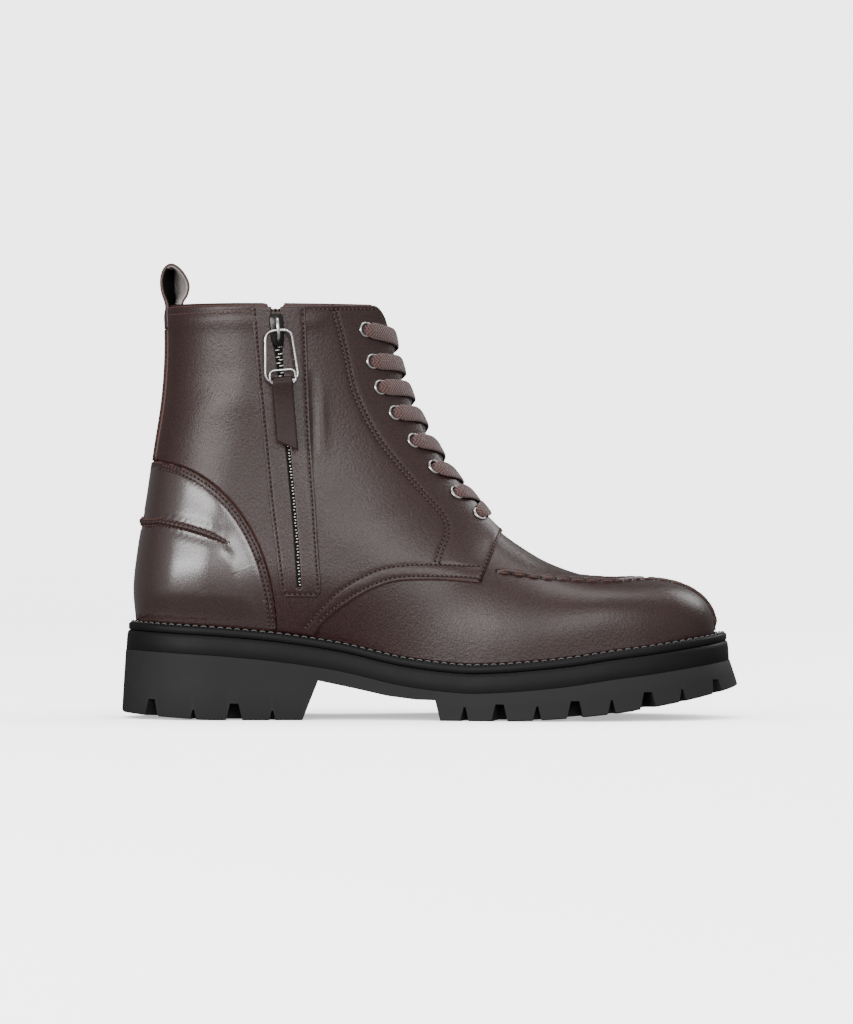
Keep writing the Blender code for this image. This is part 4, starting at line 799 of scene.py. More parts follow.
def cut_out(chart, ring, edge, groove_lines, grooves, holes, step):
    """The corners and faces of a panel in its chart: dense along edges, grooves and holes."""
    spots = []
    for reach in EDGE_STEPS:
        moved = shifted(chart, ring, reach)
        clear = distances(chart.place(moved)[0], edge) > 0.8 * reach
        spots.append(moved[clear & inside_ring(ring, moved)])
    for line in grooves:
        run = resampled(line, 1.1)
        for reach in GROOVE_STEPS:
            moved = shifted(chart, run, reach, closed=False)
            spots.append(moved[inside_ring(ring, moved)])
    for centre, radius in holes:
        spots += [hole_ring(chart, centre, share * radius) for share in HOLE_SHARES]
    low, high = ring.min(0), ring.max(0)
    a, b = np.meshgrid(np.arange(low[0], high[0], step), np.arange(low[1], high[1], step * 0.87))
    a[1::2] += step / 2
    fill = np.stack([a.ravel(), b.ravel()], 1)
    fill = fill[inside_ring(ring, fill)]
    placed = chart.place(fill)[0]
    clear = distances(placed, edge) > EDGE_STEPS[-1] + 0.45
    for line in groove_lines:
        clear &= distances(placed, line) > GROOVE_CLEAR
    for centre, radius in holes:
        clear &= distances(placed, chart.place(np.array([centre]))[0]) > HOLE_CLEAR * radius
    flat = np.concatenate([ring] + spots + [fill[clear]])
    loop = [(k, (k + 1) % len(ring)) for k in range(len(ring))]
    corners, _, faces, _, _, _ = delaunay_2d_cdt([Vector(spot) for spot in flat], loop, [], 1, 1e-7)
    flat = np.array([[corner.x, corner.y] for corner in corners])
    faces = welded(chart.place(flat)[0], [tuple(face) for face in faces])
    if holes:
        mid = chart.place(np.array([flat[list(face)].mean(0) for face in faces]))[0]
        solid = np.ones(len(faces), bool)
        for centre, radius in holes:
            solid &= distances(mid, chart.place(np.array([centre]))[0]) > radius * 0.985
        faces = [face for face, keep in zip(faces, solid) if keep]
    return used_only(flat, faces)


def panel(
    name, chart, outline, top, slot, nodes, grooves=(), holes=(), step=1.5, swell=None, base=ON_UPPER,
    fade=(0.0, 3.0), face_finish=None, edge_finish=None, raw=0.45, border=0.0,
):
    """A leather panel cut to an outline in a chart, with a rounded raw edge and grooves under its stitches.

    swell raises its face, fading out towards the edge. Faces within raw of the edge take the edge's
    finish. Faces within border of it keep the plain leather, apart from those near the panel's foot."""
    ring = resampled(outline, 1.0, closed=True)
    ahead = np.roll(ring, -1, 0)
    if (ring[:, 0] * ahead[:, 1] - ahead[:, 0] * ring[:, 1]).sum() < 0:
        ring = ring[::-1]
    edge = chart.place(resampled(ring, 0.25, closed=True))[0]
    groove_lines = [chart.place(resampled(line, 0.3))[0] for line in grooves]
    flat, faces = cut_out(chart, ring, edge, groove_lines, grooves, holes, step)
    points, normals = chart.place(flat)
    depth = distances(points, edge)
    round_edge = EDGE_FOOT + (1 - EDGE_FOOT) * quarter_round(depth / EDGE_ROUND)
    height = base + (top - base) * round_edge
    for line in groove_lines:
        height = height - GROOVE_DEPTH * bell(distances(points, line), 0.0, GROOVE_HALF)
    if swell is not None:
        height = height + swell(points) * smoothstep(*fade, depth)
    outer = points + np.maximum(height, base + 0.1)[:, None] * normals
    inner = points + base * normals
    every, outside, inside, rim = closed_wall(outer, inner, faces)
    plain_above = points[:, 2].min() + PLAIN_FOOT
    marks = []
    for face in outside:
        away = max(depth[list(face)])
        plain = away < border and points[face[0], 2] > plain_above
        marks.append(1 if away < raw else 2 if plain else 0)
    marks += [1] * (len(inside) + len(rim))
    materials = [face_finish or LEATHER, edge_finish or RAW_EDGE] + ([LEATHER] if border else [])
    return piece(name, every, outside + inside + rim, materials, slot, nodes, marks=marks)


def swept(centres, ups, outline, closed=False):
    """Points and faces of an outline of (across, up) corners carried along a line; outline may vary."""
    centres, ups = np.asarray(centres, float), np.asarray(ups, float)
    ahead = np.gradient(centres, axis=0)
    if closed:
        ahead = np.roll(centres, -1, 0) - np.roll(centres, 1, 0)
    ahead /= np.linalg.norm(ahead, axis=1, keepdims=True) + 1e-12
    across = np.cross(ups, ahead)
    across /= np.linalg.norm(across, axis=1, keepdims=True) + 1e-12
    ups = np.cross(ahead, across)
    outlines = np.asarray(outline, float)
    if outlines.ndim == 2:
        outlines = np.repeat(outlines[None], len(centres), 0)
    points = centres[:, None] + outlines[..., :1] * across[:, None] + outlines[..., 1:] * ups[:, None]
    rows, count = points.shape[:2]
    faces = ring_faces(rows, count, closed)
    if not closed:
        faces.append(tuple(range(count))[::-1])
        faces.append(tuple((rows - 1) * count + k for k in range(count)))
    return points.reshape(-1, 3), faces


def gathered(parts):
    """Several (points, faces) pairs as one."""
    points, faces, start = [], [], 0
    for part_points, part_faces in parts:
        points.append(part_points)
        faces += [tuple(k + start for k in face) for face in part_faces]
        start += len(part_points)
    return np.concatenate(points), faces


def signed_power(wave, power):
    return np.sign(wave) * np.abs(wave) ** power


def round_outline(half_width, half_height, count=12, power=2.0):
    """An oval of corners, squarer with a higher power."""
    turn = np.linspace(0, 2 * np.pi, count, endpoint=False)
    c, s = (signed_power(wave(turn), 2 / power) for wave in (np.cos, np.sin))
    return np.stack([half_width * c, half_height * s], 1)


def capsule(start, end, up, radius, arch=0.0):
    """A short stitch of thread between two points, arched a little off the leather."""
    start, end, up = (np.asarray(v, float) for v in (start, end, up))
    shares = np.array([0.0, 0.1, 0.35, 0.65, 0.9, 1.0])
    lift = arch * np.array([-0.9, -0.1, 0.75, 0.75, -0.1, -0.9])
    size = np.array([0.35, 0.85, 1.0, 1.0, 0.85, 0.35])
    centres = start + shares[:, None] * (end - start) + lift[:, None] * up
    outline = round_outline(radius, radius, 6)
    return swept(centres, np.repeat(up[None], 6, 0), outline[None] * size[:, None, None])


def needle_hole(middle, up, radius):
    """A low button in the leather where the thread goes through; thread_piece gives it the near-black finish
    that paints the shade inside the needle hole.
    """
    first = unit(np.cross(up, [0.31, 0.77, 0.55]))
    second = np.cross(up, first)
    turn = np.linspace(0, 2 * np.pi, 6, endpoint=False)
    ring = middle + radius * (np.cos(turn)[:, None] * first + np.sin(turn)[:, None] * second)
    points = np.concatenate([ring, [middle + 0.14 * up, middle - 0.2 * up]])
    faces = [(k, (k + 1) % 6, 6) for k in range(6)] + [((k + 1) % 6, k, 7) for k in range(6)]
    return points, faces


def hole_row(points, normals, pitch, radius):
    """Needle holes along a finely drawn line of points on the leather."""
    run = run_along(points)
    spots = np.linspace(0, run[-1], max(int(run[-1] / pitch), 1) + 1)
    middles, ups = between(spots, run, points), unit(between(spots, run, normals))
    return [needle_hole(middle, up, radius) for middle, up in zip(middles, ups)]


def stitch_row(points, normals, pitch, radius, share):
    """Stitches along a finely drawn line of points on the leather, each over a share of the pitch."""
    run = run_along(points)
    count = max(int(run[-1] / pitch), 1)
    parts = []
    for k in range(count):
        spots = (np.array([0.0, share]) + k + (1 - share) / 2) * run[-1] / count
        ends = between(spots, run, points)
        up = unit(between(spots.mean(keepdims=True), run, normals)[0])
        parts.append(capsule(ends[0], ends[1], up, radius, arch=0.3))
    return parts


def thread_piece(name, threads, holes, slot):
    points, faces = gathered(threads + holes)
    count = sum(len(part[1]) for part in threads)
    marks = [0] * count + [1] * (len(faces) - count)
    piece(name, points, faces, [THREAD, NEEDLE_HOLE_SHADE], slot, marks=marks)


STITCH_PITCH, STITCH_SHARE = 2.3, 0.5
THREAD_RADIUS, NEEDLE_RADIUS = 0.32, 1.0


def sewn(name, chart, lines, top, slot):
    """Thread and needle holes along the grooves of a panel whose face is at this height."""
    threads, holes = [], []
    for line in lines:
        points, normals = chart.place(resampled(line, 0.5))
        laid, sunk = (points + height * normals for height in (top - 0.2, top - GROOVE_DEPTH + 0.08))
        threads += stitch_row(laid, normals, STITCH_PITCH, THREAD_RADIUS, STITCH_SHARE)
        holes += hole_row(sunk, normals, STITCH_PITCH, NEEDLE_RADIUS)
    thread_piece(name, threads, holes, slot)


# Upper, tongue and the panels laid on the upper

NOTCH_LENGTH = float(locate("medial", [-77.1], [206.0])[1][0])
NOTCH_ROWS, NOTCH_HALVES = 0.42, (2.4, 4.0)
DIP_ROW, BARE_ROWS = 20, 12.6
TONGUE_ROWS = (7.2, 21.6)


def collar_dip(side, length):
    """How many rows the collar drops at the notch above the zip."""
    if side != "medial":
        return np.zeros_like(length)
    return NOTCH_ROWS * (1 - smoothstep(*NOTCH_HALVES, np.abs(length - NOTCH_LENGTH)))


def lined_wall(name, sheets, shape, node):
    """Leather outside and lining inside, from an outer and an inner sheet of points on each side."""
    rows, columns = shape
    faces = grid_faces(rows, columns) + grid_faces(rows, columns, rows * columns, flip=True)
    outer, inner = (np.concatenate([sheet.reshape(-1, 3) for sheet in both]) for both in zip(*sheets))
    faces = welded(outer, faces, 0.03)
    outer, faces, inner = used_only(outer, faces, inner)
    every, outside, inside, rim = closed_wall(outer, inner, faces)
    marks = [0] * len(outside) + [1] * len(inside) + [0] * len(rim)
    piece(name, every, outside + inside + rim, [LEATHER, LINING], "upper_leather", [node], marks=marks)


def upper_skin():
    """The vamp and shaft, open at the throat, the collar and below; finer where no panel covers it."""
    foot, shaft = np.arange(0, BARE_ROWS, 0.08), np.arange(BARE_ROWS, COLLAR_ROW, 0.3)
    rows = np.concatenate([foot, shaft, [COLLAR_ROW]])
    even = np.linspace(0, 1, 72)
    shares = 0.55 * even + 0.45 * (0.5 - 0.5 * np.cos(np.pi * even))
    near_collar = np.clip((rows - DIP_ROW) / (COLLAR_ROW - DIP_ROW), 0, 1)[:, None]
    first = throat_edge(rows)
    sheets = []
    for side in SIDES:
        length = first[:, None] + (section_length(side, rows) - first)[:, None] * shares
        points, normals = on_last(side, rows[:, None] - near_collar * collar_dip(side, length), length)
        points[rows <= HEEL_ROW, -1, 2] -= 0.4
        sheets.append((points, points - UPPER_WALL * normals))
    lined_wall("vamp_and_shaft", sheets, (len(rows), len(shares)), "upper")


def tongue_pad():
    """The tongue under the laces, wider towards its top and rounded along its edges."""
    rows = np.linspace(*TONGUE_ROWS, 120)
    half = 18.0 + 8.0 * smoothstep(8.0, 14.0, rows)
    shares = np.sin(np.linspace(0, np.pi / 2, 22))
    soft = 0.8 * quarter_round((1 - shares) * half[:, None] / 2.5) + 0.2
    middle = -TONGUE_DROP - TONGUE_THICK / 2
    sheets = []
    for side in SIDES:
        points, normals = on_last(side, rows[:, None], half[:, None] * shares)
        heights = [middle + TONGUE_THICK / 2 * soft, middle - TONGUE_THICK / 2 * soft]
        sheets.append([points + height[..., None] * normals for height in heights])
    lined_wall("tongue_pad", sheets, (len(rows), len(shares)), "tongue")


QUARTER_EDGE = [
    Spot(-58.3, 40.0), Spot(-53.9, 47.9), Spot(-45.6, 55.2), Spot(-33.0, 63.1),
    Spot(-20.3, 68.2), Spot(-7.6, 69.5), Spot(11.4, 69.2), Spot(27.3, 67.9),
]
QUARTER_ROWS = (8.03, 21.95)
COUNTER_CENTRE, COUNTER_REACH = Spot(-140.5, 43.5), Spot(64.0, 85.5)
PANEL_GAP = 0.3
COLLAR_Z = 207.5
FOOT_CLEARANCE = 0.9
EYESTAY_ROW = [
    Spot(-47.6, 204.7), Spot(-42.4, 185.3), Spot(-37.4, 163.8), Spot(-27.4, 143.3), Spot(-17.0, 129.4),
    Spot(-4.0, 113.9), Spot(5.4, 103.5), Spot(8.9, 97.0), Spot(8.9, 90.6), Spot(6.4, 84.6), Spot(4.4, 78.1),
]
QUARTER_UPPER_ROW = [
    Spot(24.1, 75.8), Spot(-1.2, 77.1), Spot(-20.4, 75.8), Spot(-33.0, 71.4), Spot(-45.6, 63.8),
    Spot(-55.2, 54.3), Spot(-62.8, 45.5),
]
EYELETS = [
    Spot(-33.0, 194.6), Spot(-29.5, 178.6), Spot(-25.5, 165.6), Spot(-18.3, 152.8),
    Spot(-9.0, 138.8), Spot(1.3, 125.5), Spot(12.5, 112.5), Spot(23.8, 101.7),
]
EYELET_HOLE = 3.05
FRONT = {side: FrontChart(side) for side in SIDES}
BACK = BackChart()
EYELET_ROWS, EYELET_LENGTHS = locate("medial", [spot.x for spot in EYELETS], [spot.z for spot in EYELETS])


def length_to(side, u, inside):
    """How far along each section u the first point lies where inside() turns positive."""
    shares = np.linspace(0, 1, 321)
    full = section_length(side, u)
    points = on_last(side, u[:, None], full[:, None] * shares)[0]
    values = inside(points)
    found = np.argmax(values > 0, axis=1)
    found = np.where((values > 0).any(axis=1), found, len(shares) - 1)
    before = np.maximum(found - 1, 0)
    each = np.arange(len(u))
    low, high = values[each, before], values[each, found]
    share = np.where(high > low, -low / np.where(high > low, high - low, 1), 1.0)
    return full * (shares[before] + np.clip(share, 0, 1) * (shares[found] - shares[before]))


def in_counter(points):
    forward = np.maximum(points[..., 0] - COUNTER_CENTRE.x, 0) / COUNTER_REACH.x
    return 1 - np.hypot(forward, (points[..., 2] - COUNTER_CENTRE.z) / COUNTER_REACH.z)


def in_backstay(points):
    return np.where(points[..., 0] < -100, BACKSTAY_HALF - np.abs(points[..., 1]), -1.0)


def foot_stop(side, u):
    return section_length(side, u) - np.where(u < HEEL_ROW, FOOT_CLEARANCE, 0.0)


def on_side(side, spots):
    """A smooth line through spots of the side view, in the chart of that side."""
    return FRONT[side].seen(*smooth_line(spots, 6).T)


def quarter_outline(side):
    """Throat, collar, backstay, counter, welt, vamp and tab in turn."""
    rows = np.linspace(*QUARTER_ROWS, 180)
    lower = on_side(side, QUARTER_EDGE)
    u = lower[:, 1] / ROW_SPAN
    lower = lower[(lower[:, 0] < foot_stop(side, u) - 1.2) & (u > QUARTER_ROWS[0] + 0.01)]
    rear_rows = rows[::-1][rows[::-1] > lower[0, 1] / ROW_SPAN + 0.05]
    rear = np.minimum(length_to(side, rear_rows, in_counter), length_to(side, rear_rows, in_backstay))
    rear = np.minimum(rear - PANEL_GAP, foot_stop(side, rear_rows))
    throat = np.stack([throat_edge(rows), rows * ROW_SPAN], 1)
    collar = np.linspace(throat[-1, 0], rear[0], 160)[1:-1]
    collar = np.stack([collar, (QUARTER_ROWS[1] - collar_dip(side, collar)) * ROW_SPAN], 1)
    foot = np.array([[foot_stop(side, lower[0, 1] / ROW_SPAN), lower[0, 1] - 0.3]])
    return np.concatenate([throat, collar, np.stack([rear, rear_rows * ROW_SPAN], 1), foot, lower])


COLLAR_ROW_DROP, TAB_ROW = 0.22, 0.2


def collar_row(side):
    u = COLLAR_ROW - COLLAR_ROW_DROP
    first = float(throat_edge(np.array([u]))[0]) + 5.0
    last = float(length_to(side, np.array([u]), in_backstay)[0]) - 2.5
    length = np.linspace(first, last, 60)
    return np.stack([length, np.full_like(length, u * ROW_SPAN)], 1)


def quarter_rows(side):
    """The lines of stitches on a quarter: eyestay, lower edge, collar and the front of the tab."""
    chart = FRONT[side]
    eyestay = on_side(side, EYESTAY_ROW)
    tab_length = np.linspace(4.0, 60.0, 40)
    return [
        eyestay,
        shifted(chart, eyestay, 2.1, closed=False),
        shifted(chart, on_side(side, QUARTER_EDGE[1:]), -2.0, closed=False),
        on_side(side, QUARTER_UPPER_ROW)[::-1],
        collar_row(side),
        np.stack([tab_length, np.full_like(tab_length, (QUARTER_ROWS[0] + TAB_ROW) * ROW_SPAN)], 1),
    ]


# Troughs (and ridges, with a depth below zero) in the side view: from, to, depth and half width
Crease = namedtuple("Crease", "x0 z0 x1 z1 depth half")
SHAFT_CREASES = [
    Crease(-59.0, 172.0, -57.0, 124.0, 1.5, 1.5),
    Crease(-54.6, 168.0, -53.4, 130.0, -0.5, 2.4),
    Crease(-124.0, 148.0, -87.0, 163.0, -0.55, 8.0),
    Crease(-122.0, 166.0, -92.0, 176.0, 0.35, 7.0),
]


def creased(points, creases):
    """The height that creases give to points of the side view."""
    height = np.zeros(len(points))
    for crease in creases:
        start, end = np.array([crease.x0, crease.z0]), np.array([crease.x1, crease.z1])
        flat = points[:, [0, 2]] - start
        share = np.clip(flat @ (end - start) / ((end - start) @ (end - start)), 0, 1)
        off = np.linalg.norm(flat - share[:, None] * (end - start), axis=1)
        fade = np.sin(np.pi * np.clip(share * 0.9 + 0.05, 0, 1))
        height -= crease.depth * fade * bell(off, 0.0, crease.half)
    return height


def quarter_panel(side):
    """A quarter with its eyelet holes, its rolled collar and its stitches."""
    outline = quarter_outline(side)
    ring = resampled(outline, 1.0, closed=True)
    chart = FRONT[side]
    rows = [line[inside_ring(ring, line)] for line in quarter_rows(side)]
    rows = [line for line in rows if len(line) > 4]
    holes = [((length, u * ROW_SPAN), EYELET_HOLE) for u, length in zip(EYELET_ROWS, EYELET_LENGTHS)]

    def swell(points):
        """The soft roll below the collar's stitches and the folds of the shaft."""
        roll = 0.6 * bell(COLLAR_Z - points[:, 2], 8.5, 4.0) * smoothstep(-48.0, -58.0, points[:, 0])
        return roll + (creased(points, SHAFT_CREASES) if side == "medial" else 0.0)

    panel(
        "quarter_panel_" + side, chart, outline, QUARTER_TOP, "quarter_leather", ["quarter_" + side],
        grooves=rows, holes=holes, step=1.6, swell=swell,
    )
    sewn("quarter_stitches_" + side, chart, rows, QUARTER_TOP, "quarter_leather")


def row_of_back(z):
    """The row whose low end is at this height on the centre back."""
    rows = np.arange(HEEL_ROW * PER_ROW, COLLAR_ROW * PER_ROW + 1) / PER_ROW
    return float(np.interp(z, DRAWN["medial"][0][HEEL_ROW * PER_ROW :, -1, 2], rows))


def row_of_x(x):
    """The row whose low end is at this x on the feather edge."""
    feather = DRAWN["medial"][0][: HEEL_ROW * PER_ROW + 1, -1, 0]
    return np.interp(-np.asarray(x, float), -feather, np.arange(HEEL_ROW * PER_ROW + 1) / PER_ROW)


COUNTER_FOOT_ROW = float(row_of_x(COUNTER_CENTRE.x + COUNTER_REACH.x))
COUNTER_CREST_ROW = row_of_back(COUNTER_CENTRE.z + COUNTER_REACH.z)
HEEL_SEAM = [
    Spot(-99.5, 86.9), Spot(-103.7, 89.5), Spot(-112.0, 93.0), Spot(-122.2, 96.0), Spot(-133.0, 98.2),
]
HEEL_SEAM_BACK_Z = 99.0
# Creases pressed into the counter where the pinched seam ends
HEEL_CREASES = [
    Crease(-105.0, 95.4, -97.5, 93.8, 0.40, 2.2),
    Crease(-103.5, 85.4, -97.0, 80.4, 0.50, 1.6),
    Crease(-102.0, 89.0, -97.0, 85.4, -0.30, 2.2),
]


def counter_outline():
    """Up one side of the counter, down the other and back along the feather edge on both."""
    foot, crest = COUNTER_FOOT_ROW + 0.1, COUNTER_CREST_ROW - 0.02
    rows = np.concatenate([np.linspace(foot, crest - 0.4, 110), np.linspace(crest - 0.38, crest, 40)])
    reach = {side: section_length(side, rows) - length_to(side, rows, in_counter) for side in SIDES}
    reach = {side: np.maximum(reach[side], FOOT_CLEARANCE + 0.6) for side in SIDES}
    b = rows * ROW_SPAN
    slit = np.linspace(foot, HEEL_ROW, 40) * ROW_SPAN
    clear = np.full_like(slit, FOOT_CLEARANCE)
    return np.concatenate(
        [
            np.stack([-reach["medial"], b], 1),
            np.stack([reach["lateral"], b], 1)[::-1],
            np.stack([clear, slit], 1),
            np.stack([-clear, slit], 1)[::-1],
        ]
    )


def counter_edge(side, inward):
    """A line on the counter that keeps a distance from its curved edge."""
    rows = np.linspace(COUNTER_FOOT_ROW + 0.16, COUNTER_CREST_ROW - 0.12, 120)
    reach = section_length(side, rows) - length_to(side, rows, in_counter)
    line = np.stack([reach * OUTWARD[side], rows * ROW_SPAN], 1)
    moved = shifted(BACK, line, inward * OUTWARD[side], closed=False)
    fine = BACK.place(resampled(line, 0.25))[0]
    return moved[distances(BACK.place(moved)[0], fine) > 0.9 * inward]


def heel_seam_line():
    """The pinched seam round the heel in the back chart, from the medial to the lateral side."""
    spots = smooth_line([(s.x, s.z) for s in HEEL_SEAM], 6)
    medial = BACK.seen("medial", spots[:, 0], spots[:, 1])
    back = np.array([[0.0, row_of_back(HEEL_SEAM_BACK_Z) * ROW_SPAN]])
    lateral = medial[::-1] * [-1.0, 1.0]
    return resampled(np.concatenate([medial, back, lateral]), 0.6)


SEAM_PITCH = 2.5
STIFFENER_SWELL = 2.0


def stiffener(points):
    """The bulge of the stiffener on both sides of the heel."""
    sides = smoothstep(-144.0, -126.0, points[:, 0]) * smoothstep(-78.0, -98.0, points[:, 0])
    return STIFFENER_SWELL * sides * bell(points[:, 2], 52.0, 38.0)


def counter_panel():
    """The polished heel counter with two rows of stitches along its curved edge."""
    seam_points = BACK.place(heel_seam_line())[0]
    run = run_along(seam_points)
    tree = tree_of(seam_points)

    def swell(points):
        """Puckers beside the pinched seam, the creases at its end and the stiffener's bulge."""
        found = [tree.find(point) for point in points]
        away = np.array([hit[2] for hit in found])
        along = run[[hit[1] for hit in found]]
        wave = 0.5 + 0.5 * np.cos(2 * np.pi * along / SEAM_PITCH)
        height = -0.45 * bell(away, 2.4, 1.0) * wave - 0.35 * bell(away, 2.8, 1.6)
        height = height * smoothstep(0.0, 9.0, np.minimum(along, run[-1] - along)) + stiffener(points)
        return height + creased(points, HEEL_CREASES)

    outline = counter_outline()
    ring = resampled(outline, 1.0, closed=True)
    rows = [counter_edge(side, inward) for side in SIDES for inward in (1.6, 3.6)]
    rows = [line[inside_ring(ring, line)] for line in rows]
    panel(
        "heel_counter", BACK, outline, COUNTER_TOP, "counter_leather", ["counter"], grooves=rows,
        step=1.4, swell=swell, fade=(4.4, 17.0), face_finish=HEEL_LEATHER, raw=0.8, border=4.6,
    )
    sewn("counter_stitches", BACK, rows, COUNTER_TOP, "counter_leather")


def pinched_seam(
    name, points, normals, slot, node, half, rise, pitch, lift, taper=4, thread=0.42, pucker=0.07
):
    """A ridge of pinched leather with a running stitch and needle holes along both of its flanks."""
    run = run_along(points)
    count = max(int(run[-1] / 0.45), 30)
    spots = np.linspace(0, run[-1], count)
    centres, ups = between(spots, run, points), unit(between(spots, run, normals))
    pitch = run[-1] / max(round(run[-1] / pitch), 1)
    wave = (0.5 + 0.5 * np.cos(2 * np.pi * spots / pitch)) ** 6
    ends = np.minimum(np.minimum(spots, run[-1] - spots) / taper, 1.0)
    height = rise * (1 - pucker * wave) * (0.15 + 0.85 * ends)
    width = half * (1 - 1.1 * pucker * wave) * (0.6 + 0.4 * ends)
    turn = np.linspace(-1, 1, 15)
    crest = np.cos(np.pi / 2 * turn) ** 1.25
    outline = np.stack([turn[None] * width[:, None], crest[None] * height[:, None]], 2)
    floor = np.stack([width[:, None] * np.array([0.8, 0.0, -0.8]), np.full((count, 3), -0.35)], 2)
    points, faces = swept(centres + lift * ups, ups, np.concatenate([outline, floor], 1))
    piece(name, points, faces, [SEAM_LEATHER], slot, [node])
    across = np.cross(ups, unit(np.gradient(centres, axis=0)))
    threads, holes = [], []
    for flank in (-1.0, 1.0):
        lean = flank * across * 0.8 + ups * 0.6
        line = centres + flank * 0.72 * width[:, None] * across
        line = line + (lift + 0.36 * height + 0.12)[:, None] * ups
        threads += stitch_row(line, lean, pitch, thread, 0.6)
        holes += hole_row(line - 0.08 * lean, lean, pitch, 1.6 * thread)
    thread_piece(name + "_thread", threads, holes, slot)


def heel_seam_ridge():
    """The pinched seam round the heel, carried by the stiffener's bulge."""
    points, normals = BACK.place(heel_seam_line())
    points = points + stiffener(points)[:, None] * normals
    pinched_seam(
        "heel_seam_ridge", points, normals, "counter_leather", "heel_seam",
        half=2.2, rise=2.0, pitch=SEAM_PITCH, lift=COUNTER_TOP - 0.5, taper=10, thread=0.34, pucker=0.2,
    )


BACKSTAY_CREST = 195.8


def backstay_panel():
    """The strip up the centre back, from the counter to the pull loop."""
    rows = np.linspace(COUNTER_CREST_ROW - 0.005, row_of_back(BACKSTAY_CREST), 50) * ROW_SPAN
    edge = np.full_like(rows, BACKSTAY_HALF + 0.2)
    outline = np.concatenate([np.stack([-edge, rows], 1), np.stack([edge, rows], 1)[::-1]])
    lines = [np.stack([side * (edge - 2.0), rows], 1)[2:-2] for side in (-1.0, 1.0)]
    panel(
        "backstay_strip", BACK, outline, BACKSTAY_TOP, "counter_leather", ["backstay"],
        grooves=lines, step=1.4,
    )
    sewn("backstay_stitches", BACK, lines, BACKSTAY_TOP, "counter_leather")


APRON_EDGE = [
    Spot(33.0, 74.2), Spot(45.0, 72.8), Spot(61.5, 70.6), Spot(78.5, 69.1), Spot(92.0, 68.6),
]
APRON_FRONT = 107.0


def toe_middle(x):
    """How the middle of the vamp swings inward towards the toe."""
    return np.interp(x, [30, 100], [-0.5, -3.4])


def apron_ridge():
    """The seam round the apron: low on both sides of the vamp and across the toe."""
    rows, lengths = locate("medial", [spot.x for spot in APRON_EDGE], [spot.z for spot in APRON_EDGE])
    side_line = on_last("medial", rows, lengths)[0][:, :2]
    half = toe_middle(side_line[:, 0]) - side_line[:, 1]
    front = np.array([[102.0, 10.2], [105.8, 5.4], [APRON_FRONT, 0.0]])
    plan = np.concatenate([np.stack([side_line[:, 0], half], 1), front])
    plan = np.concatenate([plan * [1.0, -1.0], plan[:-1][::-1]])
    x, away = smooth_line(plan, 14).T
    y = toe_middle(x) + away
    points, normals = np.empty((len(x), 3)), np.empty((len(x), 3))
    for side in SIDES:
        mine = away < 0 if side == "medial" else away >= 0
        u, length = locate(side, x[mine], y[mine], PLAN_VIEW)
        points[mine], normals[mine] = on_last(side, u, length)
    pinched_seam(
        "apron_ridge", points, normals, "upper_leather", "apron_seam",
        half=1.9, rise=1.9, pitch=7.5, lift=0.05,
    )


def toe_ridge():
    """The seam down the middle of the toe, from under the apron's seam almost to the welt."""
    length = np.linspace(0.05, 0.965, 60) * float(section_length("medial", np.array([0.0]))[0])
    points, normals = on_last("medial", np.zeros(60), length)
    pinched_seam(
        "toe_ridge", points, normals, "upper_leather", "toe_seam",
        half=1.7, rise=1.8, pitch=7.2, lift=0.05,
    )


LoopRow = namedtuple("LoopRow", "x z edge_forward half")
PULL_LOOP = [
    LoopRow(-133.05, 196.0, 1.55, 9.5), LoopRow(-133.3, 202.0, 1.55, 9.5), LoopRow(-133.5, 208.0, 1.5, 9.5),
    LoopRow(-135.2, 214.0, 1.0, 9.5), LoopRow(-135.5, 220.0, 0.6, 9.5), LoopRow(-133.8, 225.3, 0.3, 9.4),
    LoopRow(-130.4, 227.6, 0.0, 9.3), LoopRow(-126.8, 226.0, 0.0, 9.2), LoopRow(-123.6, 222.2, 0.0, 9.1),
    LoopRow(-122.0, 217.6, 0.3, 9.0), LoopRow(-123.2, 213.0, 0.8, 9.0), LoopRow(-126.2, 209.0, 1.6, 9.0),
    LoopRow(-127.9, 204.0, 2.4, 9.0), LoopRow(-127.8, 197.0, 2.4, 9.0),
]
LOOP_THICK = 2.0
LOOP_PINCH_X, LOOP_PINCH_Z = -129.8, (202, 208)
# Share of the loop's rows whose inner face is painted near-black as the shade inside the loop
LOOP_PAINTED_SHADE_SHARE = 0.42


